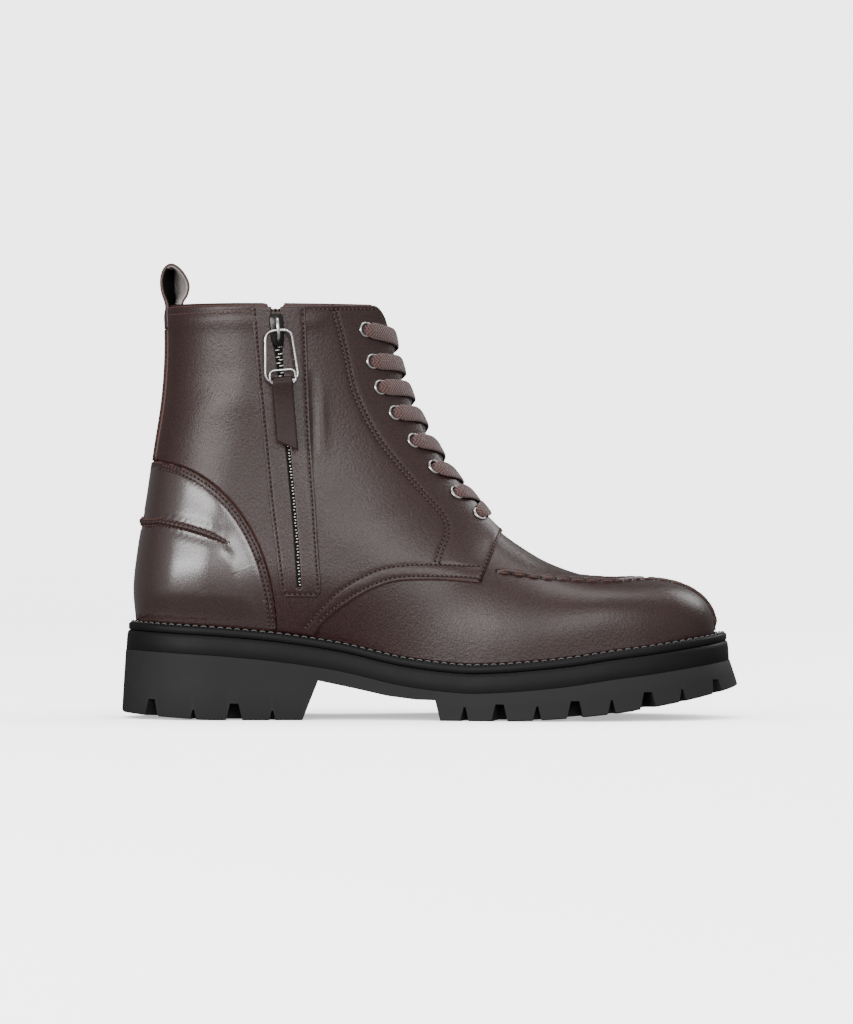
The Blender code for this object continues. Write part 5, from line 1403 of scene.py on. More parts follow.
def pull_strap():
    """The loop over the centre back: one strap with rounded edges."""
    table = smooth_line(PULL_LOOP, 7)
    ahead = unit(np.gradient(table[:, :2], axis=0))
    out = np.stack([-ahead[:, 1], ahead[:, 0]], 1)
    shares = np.sin(np.linspace(-np.pi / 2, np.pi / 2, 23))
    soft = 0.3 + 0.7 * quarter_round((1 - np.abs(shares)) * 9.3 / 0.8)
    outer, inner = [], []
    for row, away in zip((LoopRow(*values) for values in table), out):
        pinch = (LOOP_PINCH_X - row.x) * float(smoothstep(*LOOP_PINCH_Z, row.z)) * ((1 + shares) / 2) ** 1.3
        across = row.x + row.edge_forward * shares**2 + 0.93 * pinch
        middle = np.stack([across, row.half * shares, np.full_like(shares, row.z)], 1)
        lift = np.stack([away[0] * soft, np.zeros_like(soft), away[1] * soft], 1) * LOOP_THICK / 2
        outer.append(middle + lift)
        inner.append(middle - lift)
    faces = grid_faces(len(table), len(shares))
    every, outside, inside, rim = closed_wall(np.concatenate(outer), np.concatenate(inner), faces)
    # The back strap's inner face takes the near-black tape finish: painted shade inside the loop
    dark = int(LOOP_PAINTED_SHADE_SHARE * len(table)) * (len(shares) - 1)
    marks = [0] * len(outside) + [3] * dark + [1] * (len(inside) - dark) + [2] * len(rim)
    piece(
        "pull_strap", every, outside + inside + rim, [LEATHER, STRAP_BACK, RAW_EDGE, TAPE_BLACK_AND_PAINTED_SHADE],
        "trim_leather", ["pull_loop"], marks=marks,
    )


upper_skin()
tongue_pad()
for boot_side in SIDES:
    quarter_panel(boot_side)
counter_panel()
heel_seam_ridge()
backstay_panel()
apron_ridge()
toe_ridge()
pull_strap()


# Sole

WELT_TOP, WELT_THICK, WELT_LEDGE, WELT_INNER = 0.5, 4.0, 6.0, -9.0
WELT_ROW_OUT, WELT_PITCH = 4.6, 4.2
MIDSOLE_TOP, MIDSOLE_THICK = 4.8, 9.6
OUTSOLE_TOP, OUTSOLE_LEDGE = 14.7, 7.5
FOREFOOT_FLAT_END, TOE_SPRING_RADIUS = 30.0, 470.0
HEEL_FLAT_END, HEEL_LIFT = -105.0, 4.0
FOREFOOT_BREAST, HEEL_BREAST = (4.2, 6.9), (-56.0, -64.0)
WAIST = [Spot(-56.0, 19.6), Spot(-35.0, 15.4), Spot(-20.0, 12.1), Spot(-6.0, 10.4), Spot(4.2, 10.1)]
Ledge = namedtuple("Ledge", "x out")
TREAD_LEDGES = [
    Ledge(-156.0, 9.4), Ledge(-64.0, 9.0), Ledge(-56.0, 7.6), Ledge(4.0, 7.6),
    Ledge(7.0, 8.8), Ledge(100.0, 9.2), Ledge(146.0, 11.6),
]
Notch = namedtuple("Notch", "x floor_width top_width depth inward")
WIDE_NOTCH, SLIM_NOTCH, HEEL_SLIM_NOTCH = (8.2, 4.2, 8.4, 21.0), (4.4, 0.9, 7.0, 12.0), (3.2, 0.8, 4.8, 9.0)
NOTCHES = [
    *(Notch(x, *WIDE_NOTCH) for x in (35.9, 71.3, 105.6, 135.0, -97.6, -133.5)),
    *(Notch(x, *SLIM_NOTCH) for x in (19.1, 53.4, 88.6, 120.8)),
    *(Notch(x, *HEEL_SLIM_NOTCH) for x in (-78.7, -116.1)),
]
CUT_PAST = 6.0
DIAMONDS, DIAMOND_HALF, DIAMOND_DEPTH = (22.0, 48.0, 74.0, 98.0, -86.0, -116.0), 9.0, 5.0
FEATHER_FINE = low_line("medial", np.linspace(0, HEEL_ROW, 601))
FEATHER_X = np.concatenate([[160.0], FEATHER_FINE[0], [-160.0]])
FEATHER_Z = np.concatenate([[FEATHER_FINE[2][0] + 2.6], FEATHER_FINE[2], [FEATHER_FINE[2][-1] + 0.1]])
SOLE_ROWS = np.unique(
    np.concatenate(
        [
            2.4 * np.linspace(0, 1, 34) ** 1.3,
            np.linspace(2.4, 13.4, 120),
            15 - 1.6 * np.linspace(0, 1, 34) ** 1.3,
            row_of_x([*FOREFOOT_BREAST, *HEEL_BREAST]),
        ]
    )
)


def feather_z(x):
    return np.interp(-np.asarray(x), -FEATHER_X, FEATHER_Z)


def feather_xy(side, u):
    return last_point(side, u, np.where(u >= HEEL_ROW, 1.0 - 1e-9, 1.0))[..., :2]


def sole_edge(side, u, out):
    """The plan of the feather edge at rows u, moved out square to it."""
    u = np.asarray(u, float)
    at_toe, at_heel = (u <= 0)[..., None], (u >= HEEL_ROW)[..., None]
    here = feather_xy(side, u)
    before, after = np.maximum(u - 0.01, 0), np.minimum(u + 0.01, HEEL_ROW - 1e-6)
    ahead = feather_xy(side, after) - feather_xy(side, before)
    square = unit(np.stack([ahead[..., 1], -ahead[..., 0]], -1) * OUTWARD[side])
    square = np.where(at_toe, [1.0, 0.0], np.where(at_heel, [-1.0, 0.0], square))
    here = np.where(at_heel, here * [1.0, 0.0], here)
    return here + np.asarray(out)[..., None] * square, square


def tread_out(x):
    return np.interp(x, [ledge.x for ledge in TREAD_LEDGES], [ledge.out for ledge in TREAD_LEDGES])


def tread_z(x):
    """The underside of the outsole: forefoot with toe spring, waist, heel with its lifted back."""
    x = np.asarray(x, float)
    forefoot = np.maximum(x - FOREFOOT_FLAT_END, 0) ** 2 / (2 * TOE_SPRING_RADIUS)
    waist = np.interp(x, [row.x for row in WAIST], [row.z for row in WAIST])
    heel = HEEL_LIFT * np.maximum((HEEL_FLAT_END - x) / 50.0, 0) ** 1.3
    for (top, foot), block in ((FOREFOOT_BREAST, forefoot), (HEEL_BREAST, heel)):
        waist = waist + (block - waist) * np.clip((x - top) / (foot - top), 0, 1)
    return waist


def sole_layer(levels):
    """Points and faces of a layer: levels of (out, height) from top to bottom, closed by rungs across."""
    points, faces, count = [], [], len(SOLE_ROWS)
    for out, height in levels:
        for side in SIDES:
            foot_x = feather_xy(side, SOLE_ROWS)[:, 0]
            plan = sole_edge(side, SOLE_ROWS, out(foot_x))[0]
            points.append(np.column_stack([plan, height(plan[:, 0], foot_x)]))
    size = 2 * count
    for k in range(count - 1):
        for level in range(len(levels) - 1):
            for first in (0, count):
                a = level * size + first + k
                faces.append((a, a + 1, a + size + 1, a + size))
        for level in (0, len(levels) - 1):
            a = level * size + k
            faces.append((a, a + 1, a + count + 1, a + count))
    points = np.concatenate(points)
    return used_only(points, welded(points, faces))


def out_by(value):
    return lambda foot_x: np.full_like(foot_x, value)


def under_feather(drop):
    return lambda x, foot_x: feather_z(x) - drop


def prism(outline, low, high, frame_of):
    """Points and faces of an outline pushed from low to high along the third axis of a frame."""
    corners = np.array([[a, b, depth, 1.0] for depth in (low, high) for a, b in outline])
    points = (corners @ np.array(frame_of).T)[:, :3]
    count = len(outline)
    faces = [tuple(range(count))[::-1], tuple(range(count, 2 * count))]
    faces += [(k, (k + 1) % count, count + (k + 1) % count, count + k) for k in range(count)]
    return points, faces


def notch_prism(side, notch):
    """The wedge that cuts a notch, reaching past the tread and past the sole's edge."""
    edge, square = sole_edge(side, float(row_of_x(notch.x)), float(tread_out(notch.x)))
    inward = min(notch.inward, 0.42 * abs(edge[1]) + 4)
    base = float(tread_z(notch.x))
    slope = (notch.floor_width - notch.top_width) / 2 / notch.depth
    wide, narrow = notch.floor_width / 2 + CUT_PAST * slope, notch.top_width / 2
    low, high = base - CUT_PAST, base + notch.depth
    outline = [(-wide, low), (wide, low), (narrow, high), (-narrow, high)]
    frame_of = [
        (-square[1], 0, square[0], edge[0]), (square[0], 0, square[1], edge[1]), (0, 1, 0, 0), (0, 0, 0, 1),
    ]
    return prism(outline, -inward, CUT_PAST, frame_of)


def diamond_prism(x):
    u = float(row_of_x(x))
    middle = (feather_xy("medial", u)[1] + feather_xy("lateral", u)[1]) / 2
    corners = ((-DIAMOND_HALF, 0.0), (0.0, -DIAMOND_HALF), (DIAMOND_HALF, 0.0), (0.0, DIAMOND_HALF))
    outline = [(x + a, middle + b) for a, b in corners]
    return prism(outline, -4.0, float(tread_z(x)) + DIAMOND_DEPTH, np.eye(4))


def cut(made, cutter):
    """Takes one closed piece away from another for good."""
    tool = made.modifiers.new("cut", "BOOLEAN")
    tool.object, tool.operation, tool.solver = cutter, "DIFFERENCE", "EXACT"
    done = bpy.data.meshes.new_from_object(made.evaluated_get(bpy.context.evaluated_depsgraph_get()))
    made.modifiers.remove(tool)
    made.data = done
    bpy.data.objects.remove(cutter, do_unlink=True)


def tread_height(share):
    """A level of the outsole's wall, from its top at 0 to the tread at 1."""

    def height(x, foot_x):
        low = tread_z(np.where(foot_x < 100, foot_x, x))
        return (feather_z(x) - OUTSOLE_TOP) * (1 - share) + low * share

    return height


def outsole_piece():
    """The grey outsole with its notched edge and the diamonds of its tread."""
    levels = [
        (out_by(OUTSOLE_LEDGE - 0.15), under_feather(OUTSOLE_TOP - 0.2)),
        (out_by(OUTSOLE_LEDGE), under_feather(OUTSOLE_TOP)),
        (lambda x: 0.45 * OUTSOLE_LEDGE + 0.55 * tread_out(x), tread_height(0.5)),
        (tread_out, tread_height(0.96)),
        (lambda x: tread_out(x) - 0.5, tread_height(1.0)),
    ]
    made = piece("tread_outsole", *sole_layer(levels), [GREY_RUBBER], "outsole_rubber", ["outsole"])
    cutters = [notch_prism(side, notch) for notch in NOTCHES for side in SIDES]
    cutters += [diamond_prism(x) for x in DIAMONDS]
    cut(made, shown("tread_cutter", mesh_of("tread_cutter", *gathered(cutters))))
    made.data.shade_smooth()
    made.data.set_sharp_from_angle(angle=math.radians(32))


def midsole_piece():
    """The black midsole, its side swelling a little towards the outsole."""
    top, low = MIDSOLE_TOP, MIDSOLE_TOP + MIDSOLE_THICK
    levels = [
        (out_by(5.8), under_feather(top)), (out_by(6.4), under_feather(top + 0.5)),
        (out_by(6.75), under_feather(top + 2.2)), (out_by(7.0), under_feather((top + low) / 2)),
        (out_by(7.25), under_feather(low - 0.3)), (out_by(7.1), under_feather(low)),
    ]
    made = piece("black_midsole", *sole_layer(levels), [BLACK_RUBBER], "black_rubber", ["midsole"])
    made.data.set_sharp_from_angle(angle=math.radians(50))


def sole_loop(out):
    """The plan of a closed line round the sole."""
    out = np.full_like(SOLE_ROWS, out)
    medial, lateral = (sole_edge(side, SOLE_ROWS, out)[0] for side in SIDES)
    return np.concatenate([medial[:-1], lateral[:0:-1]])


def welt_piece():
    """The welt, an open ring under the upper, and the row of stitches on it."""
    section = [
        (WELT_INNER, WELT_TOP), (3.4, WELT_TOP), (4.4, WELT_TOP + 0.1), (5.5, WELT_TOP + 0.35),
        (WELT_LEDGE, WELT_TOP + 1.0), (WELT_LEDGE, WELT_TOP + 3.4), (5.6, WELT_TOP + WELT_THICK),
        (WELT_INNER, WELT_TOP + WELT_THICK),
    ]
    loops = []
    for out, drop in section:
        plan = sole_loop(out)
        loops.append(np.column_stack([plan, feather_z(plan[:, 0]) - drop]))
    faces = ring_faces(len(section), len(loops[0]), closed=True)
    made = piece("stitched_welt", np.concatenate(loops), faces, [BLACK_RUBBER], "black_rubber", ["welt"])
    made.data.set_sharp_from_angle(angle=math.radians(50))
    plan = sole_loop(WELT_ROW_OUT)
    plan = np.concatenate([plan, plan[:1]])
    line = np.column_stack([plan, feather_z(plan[:, 0]) - WELT_TOP + 0.1])
    ups = np.repeat([[0.0, 0.0, 1.0]], len(line), 0)
    stitches = stitch_row(line, ups, WELT_PITCH, 0.36, 0.7)
    piece("welt_stitches", *gathered(stitches), [WELT_THREAD], "black_rubber")


# Eyelets and lace

EYELET_PROFILE = [
    (2.8, -1.5), (2.75, 0.0), (2.85, 0.4), (3.1, 0.66), (3.4, 0.72), (3.7, 0.6), (3.95, 0.3), (4.05, 0.0),
    (3.5, -0.05), (3.02, -0.15), (3.0, -1.5),
]


def eyelet_rings():
    """Rolled metal rings in the holes of both quarters."""
    parts, turn = [], np.linspace(0, 2 * np.pi, 28, endpoint=False)
    for side in SIDES:
        points, normals = on_last(side, EYELET_ROWS, EYELET_LENGTHS)
        for point, up in zip(points, normals):
            first = unit(np.cross(up, [0.0, 0.0, 1.0]))
            second = np.cross(up, first)
            seat = point + (QUARTER_TOP + 0.05) * up
            made = [
                seat + r * (c * first + s * second) + h * up
                for c, s in zip(np.cos(turn), np.sin(turn))
                for r, h in EYELET_PROFILE
            ]
            parts.append((np.array(made), ring_faces(len(turn), len(EYELET_PROFILE), closed=True)))
    nodes = ["eyelet_%s_%d" % (side, k + 1) for side in SIDES for k in range(len(EYELETS))]
    piece("eyelet_rings", *gathered(parts), [STEEL], "eyelet_metal", nodes)


LACE_HALF, LACE_THICK = 4.2, 0.75
LACE_ROUND_HALF, LACE_ROUND_THICK = 2.0, 1.5
LACE_OPENS = (1.5, 8.5)
UNDER_FACING = -3.15
# How a lace comes up through an eyelet: distance towards the middle, height over the last
EYELET_CLIMB = [(-0.2, -2.6), (0.1, 0.2), (0.9, 2.0), (2.6, 3.05)]


def lace_strip(first_side, line, rows, both_ends):
    """A strip along a line of (distance from the middle, height), round at its eyelets and flat between."""
    other = SIDES[1 - SIDES.index(first_side)]
    points, normals = np.empty((len(line), 3)), np.empty((len(line), 3))
    for side, mine in ((first_side, line[:, 0] < 0), (other, line[:, 0] >= 0)):
        points[mine], normals[mine] = on_last(side, rows[mine], np.abs(line[mine, 0]))
    centres = points + line[:, 1:2] * normals
    along = run_along(centres)
    open_up = smoothstep(*LACE_OPENS, np.minimum(along, along[-1] - along) if both_ends else along)
    half = LACE_ROUND_HALF + (LACE_HALF - LACE_ROUND_HALF) * open_up
    thick = LACE_ROUND_THICK + (LACE_THICK - LACE_ROUND_THICK) * open_up
    if not both_ends:
        thick = thick * (1 - 0.25 * smoothstep(6.0, 11.0, line[:, 0]))
    oval = round_outline(1.0, 1.0, 16, 2.8)
    outline = oval[None] * np.stack([half, thick], 1)[:, None]
    weave = np.stack([outline[..., 0].ravel(), np.repeat(along, len(oval))], 1)
    return swept(centres, normals, outline), weave


def lace_run(first_side, i, j, over):
    """From eyelet i of one side across the tongue, then under the other side towards eyelet j."""
    start, end = EYELET_LENGTHS[i], EYELET_LENGTHS[j]
    knots = [(away - start, height) for away, height in EYELET_CLIMB]
    knots += [(-start + 5.5, 3.0), (-10.0, 2.9)]
    knots += [(-6.0, 2.3), (0.0, 1.75), (4.5, 0.3)] if over else [(-6.0, 1.2), (0.0, -0.25), (4.5, -0.9)]
    knots += [(8.5, -1.9), (11.5, UNDER_FACING), (end - 1.5, UNDER_FACING)]
    line = smooth_line(knots, 7)
    share = (line[:, 0] + start) / (start + end)
    rows = EYELET_ROWS[i] + (EYELET_ROWS[j] - EYELET_ROWS[i]) * np.clip(share, 0, 1)
    return lace_strip(first_side, line, rows, both_ends=False)


def lace_bar():
    """The lowest strip, straight across between the two lowest eyelets."""
    knots = [(away - EYELET_LENGTHS[-1], height) for away, height in EYELET_CLIMB]
    knots += [(-10.0, 2.9), (-5.0, 2.4), (0.0, 2.2)]
    knots += [(-away, height) for away, height in knots[:-1][::-1]]
    line = smooth_line(knots, 6)
    return lace_strip("medial", line, np.full(len(line), EYELET_ROWS[-1]), both_ends=True)


def woven_laces():
    runs = [lace_run(side, i, i + 1, side == "medial") for i in range(len(EYELETS) - 1) for side in SIDES]
    runs.append(lace_bar())
    points, faces = gathered([made for made, _ in runs])
    weave = np.concatenate([weave for _, weave in runs])
    nodes = ["lace_%d" % (k + 1) for k in range(len(EYELETS) - 1)]
    piece("woven_laces", points, faces, [LACE], "lace_cord", nodes, weave=weave)


# Zip

ZipRow = namedtuple("ZipRow", "z back centre front slit")
ZIP = [
    ZipRow(206.3, -89.0, -77.1, -62.4, 4.0), ZipRow(195.0, -88.1, -76.4, -61.9, 5.0),
    ZipRow(182.0, -87.0, -75.3, -61.4, 3.6), ZipRow(166.0, -85.6, -73.7, -60.8, 2.4),
    ZipRow(140.0, -83.0, -71.2, -59.6, 2.1), ZipRow(107.0, -79.8, -67.9, -57.0, 2.0),
    ZipRow(86.0, -77.0, -66.2, -55.6, 2.0), ZipRow(67.0, -74.7, -65.0, -54.2, 2.0),
]
FACING_TOP = 2.4
CHAIN_TOP, CHAIN_FOOT, FACING_FOOT = 188.0, 67.0, 61.5
TOOTH_PITCH = 1.6


def zip_column(name, z):
    heights = [row.z for row in ZIP][::-1]
    return np.interp(z, heights, [getattr(row, name) for row in ZIP][::-1])


def zip_facing():
    """The leather on both sides of the zip, one piece that joins below its foot."""
    chart = FRONT["medial"]
    z = np.linspace(205.6, CHAIN_FOOT - 1.5, 90)
    left = np.stack([zip_column("back", z), z], 1)
    right = np.stack([zip_column("front", z), z], 1)
    centre, half = zip_column("centre", z), zip_column("slit", z) / 2
    slit_left, slit_right = np.stack([centre - half, z], 1), np.stack([centre + half, z], 1)
    foot = np.array([(-74.0, 63.2), (-72.6, FACING_FOOT), (-56.2, FACING_FOOT), (-54.6, 63.2)])
    ring = np.concatenate([left, foot, right[::-1], slit_right, slit_left[::-1]])
    rows = [
        np.stack([zip_column("back", z) + 1.7, z], 1)[1:],
        np.stack([zip_column("front", z) - 1.6, z], 1)[1:],
        np.array([(-72.4, 63.1), (-64.5, 63.0), (-56.6, 63.1)]),
    ]
    rows = [chart.seen(*line.T) for line in rows]
    panel(
        "zip_facing_strips", chart, chart.seen(*ring.T), FACING_TOP, "trim_leather", ["zip_facing"],
        grooves=rows, step=1.3, base=QUARTER_TOP - 0.05, edge_finish=LEATHER,
    )
    sewn("zip_stitches", chart, rows, FACING_TOP, "trim_leather")


def zip_chain():
    """The tape behind the slit and the teeth on it, broader towards the slider."""
    chart = FRONT["medial"]
    z = np.linspace(CHAIN_TOP, CHAIN_FOOT - 1.0, 80)
    centre, half = zip_column("centre", z), np.minimum(zip_column("slit", z) / 2 + 0.5, 2.6)
    ring = np.concatenate([np.stack([centre - half, z], 1), np.stack([centre + half, z], 1)[::-1]])
    panel(
        "zip_tape", chart, chart.seen(*ring.T), QUARTER_TOP + 0.35, "zip_metal", ["zip_chain"],
        step=1.2, face_finish=TAPE_BLACK_AND_PAINTED_SHADE, base=QUARTER_TOP + 0.02,
    )
    line = resampled(np.stack([centre, z], 1), 0.5)
    points, normals = chart.place(chart.seen(*line.T))
    run = run_along(points)
    teeth = []
    for k, spot in enumerate(np.arange(1.0, run[-1] - 0.5, TOOTH_PITCH)):
        i = int(np.argmin(np.abs(run - spot)))
        i = min(max(i, 1), len(run) - 2)
        across = np.cross(normals[i], unit(points[i + 1] - points[i - 1]))
        wide = float(smoothstep(150, 180, points[i, 2]))
        middle = points[i] + (QUARTER_TOP + 0.6) * normals[i]
        middle = middle + ((0.15 + 0.5 * wide) * (1 if k % 2 else -1) + 0.35 * (1 - wide)) * across
        reach = 0.6 + 0.65 * wide
        teeth.append(capsule(middle - reach * across, middle + reach * across, normals[i], 0.5))
    piece("zip_teeth", *gathered(teeth), [STEEL], "zip_metal")


# The slider's own axes start at the hinge of the pull, as the frame has it; ZIP_UP runs up along the chain
ZIP_HINGE = next(joint for joint in frame["joints"] if joint["name"] == "zip_pull_swing")
ZIP_PIVOT = np.array(ZIP_HINGE["pos_m"]) / MM + MIDDLE
ZIP_ACROSS = -np.array(ZIP_HINGE["axis"])
ZIP_UP = np.array([-0.0803, -0.0282, 0.9964])
ZIP_OUT = np.cross(ZIP_ACROSS, ZIP_UP)
PIVOT_RISE = 4.0


def on_zip(points):
    """From the slider's own axes (across, up, out of the boot) to the boot's."""
    points = np.asarray(points, float)
    return ZIP_PIVOT + points[..., :1] * ZIP_ACROSS + points[..., 1:2] * ZIP_UP + points[..., 2:] * ZIP_OUT


def soft_block(outline, low, high, edge):
    """A plate of a rounded outline with its two rims eased."""
    outline = np.asarray(outline, float)
    away = unit(outline - outline.mean(0))
    loops = []
    for depth, inset in ((low, edge), (low + edge, 0.0), (high - edge, 0.0), (high, edge)):
        loops.append(np.column_stack([outline - inset * away, np.full(len(outline), depth)]))
    count = len(outline)
    faces = [tuple(range(count))[::-1], tuple(3 * count + k for k in range(count))]
    return np.concatenate(loops), faces + ring_faces(len(loops), count)


# The bail from end to end, in the slider's own axes
SLIDER_BAIL = [
    (0, -4.0, -3.4), (0, -3.7, -1.6), (0, -2.2, -0.1), (0, 0.4, 0.7),
    (0, 4.6, 0.5), (0, 6.9, -1.0), (0, 7.4, -3.4),
]


def zip_slider_piece():
    """The slider's body, wider at the shoulders, and the bail that the pull hangs from."""
    turn = np.linspace(0, 2 * np.pi, 40, endpoint=False)
    c, s = np.cos(turn), np.sin(turn)
    half = 3.1 + 0.7 * smoothstep(-4, 6, 7 * s)
    body = np.stack([half * signed_power(c, 0.55), 8.3 * signed_power(s, 0.6) + 1.4], 1)
    neck = np.stack([1.4 * c, 2.4 * s + 3.6], 1)
    blocks = [
        soft_block(body, -PIVOT_RISE, -PIVOT_RISE + 1.0, 0.3),
        soft_block(body, -PIVOT_RISE - 2.2, -PIVOT_RISE - 1.2, 0.3),
        soft_block(neck, -PIVOT_RISE - 1.4, -PIVOT_RISE + 0.2, 0.1),
    ]
    parts = [(on_zip(points), faces) for points, faces in blocks]
    bow = smooth_line(SLIDER_BAIL, 6)
    ups = np.repeat(ZIP_ACROSS[None], len(bow), 0)
    parts.append(swept(on_zip(bow), ups, round_outline(0.6, 0.8, 10, 3.0)))
    points, faces = gathered(parts)
    marks = [1] * (len(faces) - len(parts[-1][1])) + [0] * len(parts[-1][1])
    piece("zip_slider_body", points, faces, [STEEL, DARK_STEEL], "zip_metal", ["zip_slider"], marks=marks)


RING_TOP, RING_FOOT, RING_DROP, RING_WIRE = 6.4, 8.4, 24.0, 0.7
TAB_RING, TAB_RING_OUT, TAB_RING_WIRE = [(-5.9, -18.6), (6.3, -18.6), (6.9, -25.0), (-6.2, -25.0)], 0.9, 0.6


def rounded_loop(corners, radius, parts=7):
    """A closed line through corners, each turned with a radius."""
    corners = np.asarray(corners, float)
    made = []
    t = np.linspace(0, 1, parts)[:, None]
    for before, here, after in zip(np.roll(corners, 1, 0), corners, np.roll(corners, -1, 0)):
        one, two = here + radius * unit(before - here), here + radius * unit(after - here)
        made.append((1 - t) ** 2 * one + 2 * t * (1 - t) * here + t**2 * two)
    return np.concatenate(made)


def wire_loop(corners, radius, out, wire, count):
    """A closed loop of wire square to the slider's out axis."""
    loop = rounded_loop(corners, radius)
    loop = np.column_stack([loop, np.full(len(loop), out)])
    ups = np.repeat(ZIP_OUT[None], len(loop), 0)
    return swept(on_zip(loop), ups, round_outline(wire, wire, count), closed=True)


def pull_ring_piece():
    """The ring that hangs from the bail and the smaller ring that holds the tab."""
    corners = [(-RING_TOP, 1.2), (RING_TOP, 1.2), (RING_FOOT, -RING_DROP), (-RING_FOOT, -RING_DROP)]
    parts = [
        wire_loop(corners, 4.5, 0.0, RING_WIRE, 12),
        wire_loop(TAB_RING, 2.2, TAB_RING_OUT, TAB_RING_WIRE, 10),
    ]
    piece("zip_pull_ring", *gathered(parts), [STEEL], "zip_metal", ["zip_ring"], body="zip_pull")


TAB_HALF, TAB_LENGTH, TAB_THICK, TAB_SLANT, TAB_FOLD = 5.0, 35.0, 1.8, 5.5, 2.1


def pull_tab_piece():
    """The leather tab: folded round the ring's foot, then hanging with a slanted end."""
    turn = np.linspace(-0.5 * np.pi, 0.5 * np.pi, 9)
    path = [(-RING_DROP - 12.0, -1.05), (-RING_DROP - 6.0, -1.35)]
    path += [(-RING_DROP + TAB_FOLD * 0.9 * math.cos(t) - 0.6, TAB_FOLD * math.sin(t)) for t in turn]
    path += [(-RING_DROP - 7.0, 1.3), (-RING_DROP - 14.0, 1.0)]
    path += [(-RING_DROP - TAB_LENGTH + 12.0, 1.2), (-RING_DROP - TAB_LENGTH, 1.9)]
    line = resampled(smooth_line(path, 5), 0.8)
    shares = np.sin(np.linspace(-np.pi / 2, np.pi / 2, 15))
    ahead = unit(np.gradient(line, axis=0))
    away = np.stack([ahead[:, 1], -ahead[:, 0]], 1)
    run = np.arange(len(line)) / (len(line) - 1)
    x = TAB_HALF * shares
    soft = TAB_THICK / 2 * (0.35 + 0.65 * quarter_round((1 - np.abs(shares)) * TAB_HALF / 0.8))
    outer, inner = [], []
    for k, spot in enumerate(line):
        near_end = smoothstep(0.82, 1.0, run[k])
        up = spot[0] + near_end * TAB_SLANT * (TAB_HALF - x) / (2 * TAB_HALF)
        outer.append(np.stack([x, up + away[k, 0] * soft, spot[1] + away[k, 1] * soft], 1))
        inner.append(np.stack([x, up - away[k, 0] * soft, spot[1] - away[k, 1] * soft], 1))
    faces = grid_faces(len(line), len(shares))
    outer, inner = on_zip(np.concatenate(outer)), on_zip(np.concatenate(inner))
    every, outside, inside, rim = closed_wall(outer, inner, faces)
    marks = [0] * (len(outside) + len(inside)) + [1] * len(rim)
    piece(
        "zip_pull_tab", every, outside + inside + rim, [TAB_LEATHER, RAW_EDGE], "trim_leather", ["zip_tab"],
        body="zip_pull", marks=marks,
    )


outsole_piece()
midsole_piece()
welt_piece()
eyelet_rings()
woven_laces()
zip_facing()
zip_chain()
zip_slider_piece()
pull_ring_piece()
pull_tab_piece()
insole = bpy.data.objects["insole"]
insole.data.materials.clear()
insole.data.materials.append(LINING)


# Stage, light and camera


def studio_floor():
    """A pale sweep: level under the boot and curved up far behind it, its glow dimmed near the boot as a
    painted contact shadow.
    """
    turn, bend = np.linspace(0.1, math.pi / 2, 16), 1.5
    profile = [(-6.0, 0.0), (-2.0, 0.0), (1.0, 0.0), (2.0, 0.0)]
    profile += [(2.0 + bend * math.sin(t), bend - bend * math.cos(t)) for t in turn]
    profile += [(3.5, 6.0)]
    mesh = bpy.data.meshes.new("studio_floor")
    points = [(x, y, z) for y, z in profile for x in (-6.0, 6.0)]
    faces = [(2 * k, 2 * k + 1, 2 * k + 3, 2 * k + 2) for k in range(len(profile) - 1)]
    mesh.from_pydata(points, [], faces)
    mesh.shade_smooth()
    material = bpy.data.materials.new("pale_backdrop")
    material.use_nodes = True
    shader = material.node_tree.nodes["Principled BSDF"]
    shader.inputs["Base Color"].default_value = rgb(0.80, 0.80, 0.80)
    shader.inputs["Roughness"].default_value = 0.9
    shader.inputs["Specular IOR Level"].default_value = 0.0
    shader.inputs["Emission Color"].default_value = rgb(1.0, 1.0, 1.0)
    # Painted contact shadow: ambient occlusion dims the backdrop's glow near the boot
    near = add(material.node_tree, "ShaderNodeAmbientOcclusion", {"Distance": 0.12}, samples=8)
    glow_with_painted_shadow = maths(material.node_tree, "MULTIPLY_ADD", near.outputs["AO"], 2.6, 0.5)
    material.node_tree.links.new(glow_with_painted_shadow, shader.inputs["Emission Strength"])
    mesh.materials.append(material)
    floor = bpy.data.objects.new("studio_floor", mesh)
    floor.visible_glossy = False
    floor.visible_diffuse = False
    bpy.context.scene.collection.objects.link(floor)


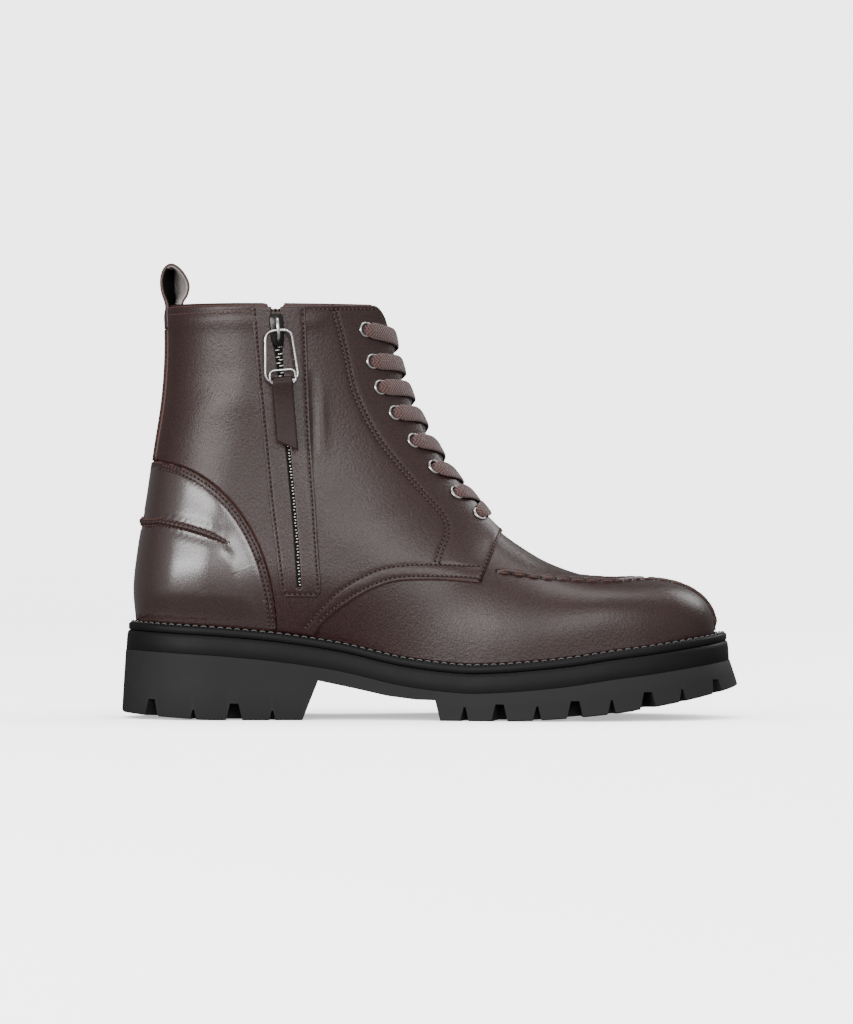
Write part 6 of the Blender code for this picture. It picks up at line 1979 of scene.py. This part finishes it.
def soft_light(name, place, aim, size, power):
    """A soft box at a place in metres, turned to its aim, with its power in watts."""
    data = bpy.data.lights.new(name, "AREA")
    data.shape, data.size, data.size_y, data.energy = "RECTANGLE", size[0], size[1], power
    light = bpy.data.objects.new(name, data)
    light.location = place
    light.rotation_euler = (Vector(aim) - Vector(place)).to_track_quat("-Z", "Y").to_euler()
    bpy.context.scene.collection.objects.link(light)


studio_floor()
soft_light("heel_light", (-1.03, -1.30, 0.33), (-0.11, 0, 0.09), (1.25, 0.30), 21)
soft_light("front_light", (0.42, -2.52, 0.74), (0, 0, 0.1), (0.9, 0.9), 28)
soft_light("top_light", (0.15, -0.1, 1.6), (0.05, 0, 0.1), (1.2, 0.7), 12)
soft_light("toe_light", (1.45, 1.25, 1.40), (0.1, 0, 0.07), (1.3, 1.0), 22)


def studio_world():
    """Bright walls on the photographer's side, dark ones behind the boot and below it."""
    world = bpy.data.worlds.new("studio_world")
    world.use_nodes = True
    tree = world.node_tree
    shade = tree.nodes["Background"]
    shade.inputs["Color"].default_value = rgb(0.95, 0.95, 0.95)
    split = add(tree, "ShaderNodeSeparateXYZ")
    tree.links.new(add(tree, "ShaderNodeTexCoord").outputs["Generated"], split.inputs["Vector"])
    walls = {"From Min": 0.35, "From Max": -0.35, "To Min": 0.24, "To Max": 0.84}
    ground = {"From Min": -0.45, "From Max": -0.05, "To Min": 0.45, "To Max": 1.0}
    shares = []
    for axis, span in (("Y", walls), ("Z", ground)):
        node = add(tree, "ShaderNodeMapRange", span, interpolation_type="SMOOTHSTEP")
        tree.links.new(split.outputs[axis], node.inputs["Value"])
        shares.append(node.outputs["Result"])
    tree.links.new(maths(tree, "MULTIPLY", *shares), shade.inputs["Strength"])
    bpy.context.scene.world = world


studio_world()

camera_data = bpy.data.cameras.new("photo_camera")
camera_data.lens, camera_data.sensor_width = 167.13, 36.0
camera = bpy.data.objects.new("photo_camera", camera_data)
camera.location = (-0.00152, -2.40165, 0.1035)
camera.rotation_euler = (math.pi / 2, 0, 0)
bpy.context.scene.collection.objects.link(camera)
bpy.context.scene.camera = camera
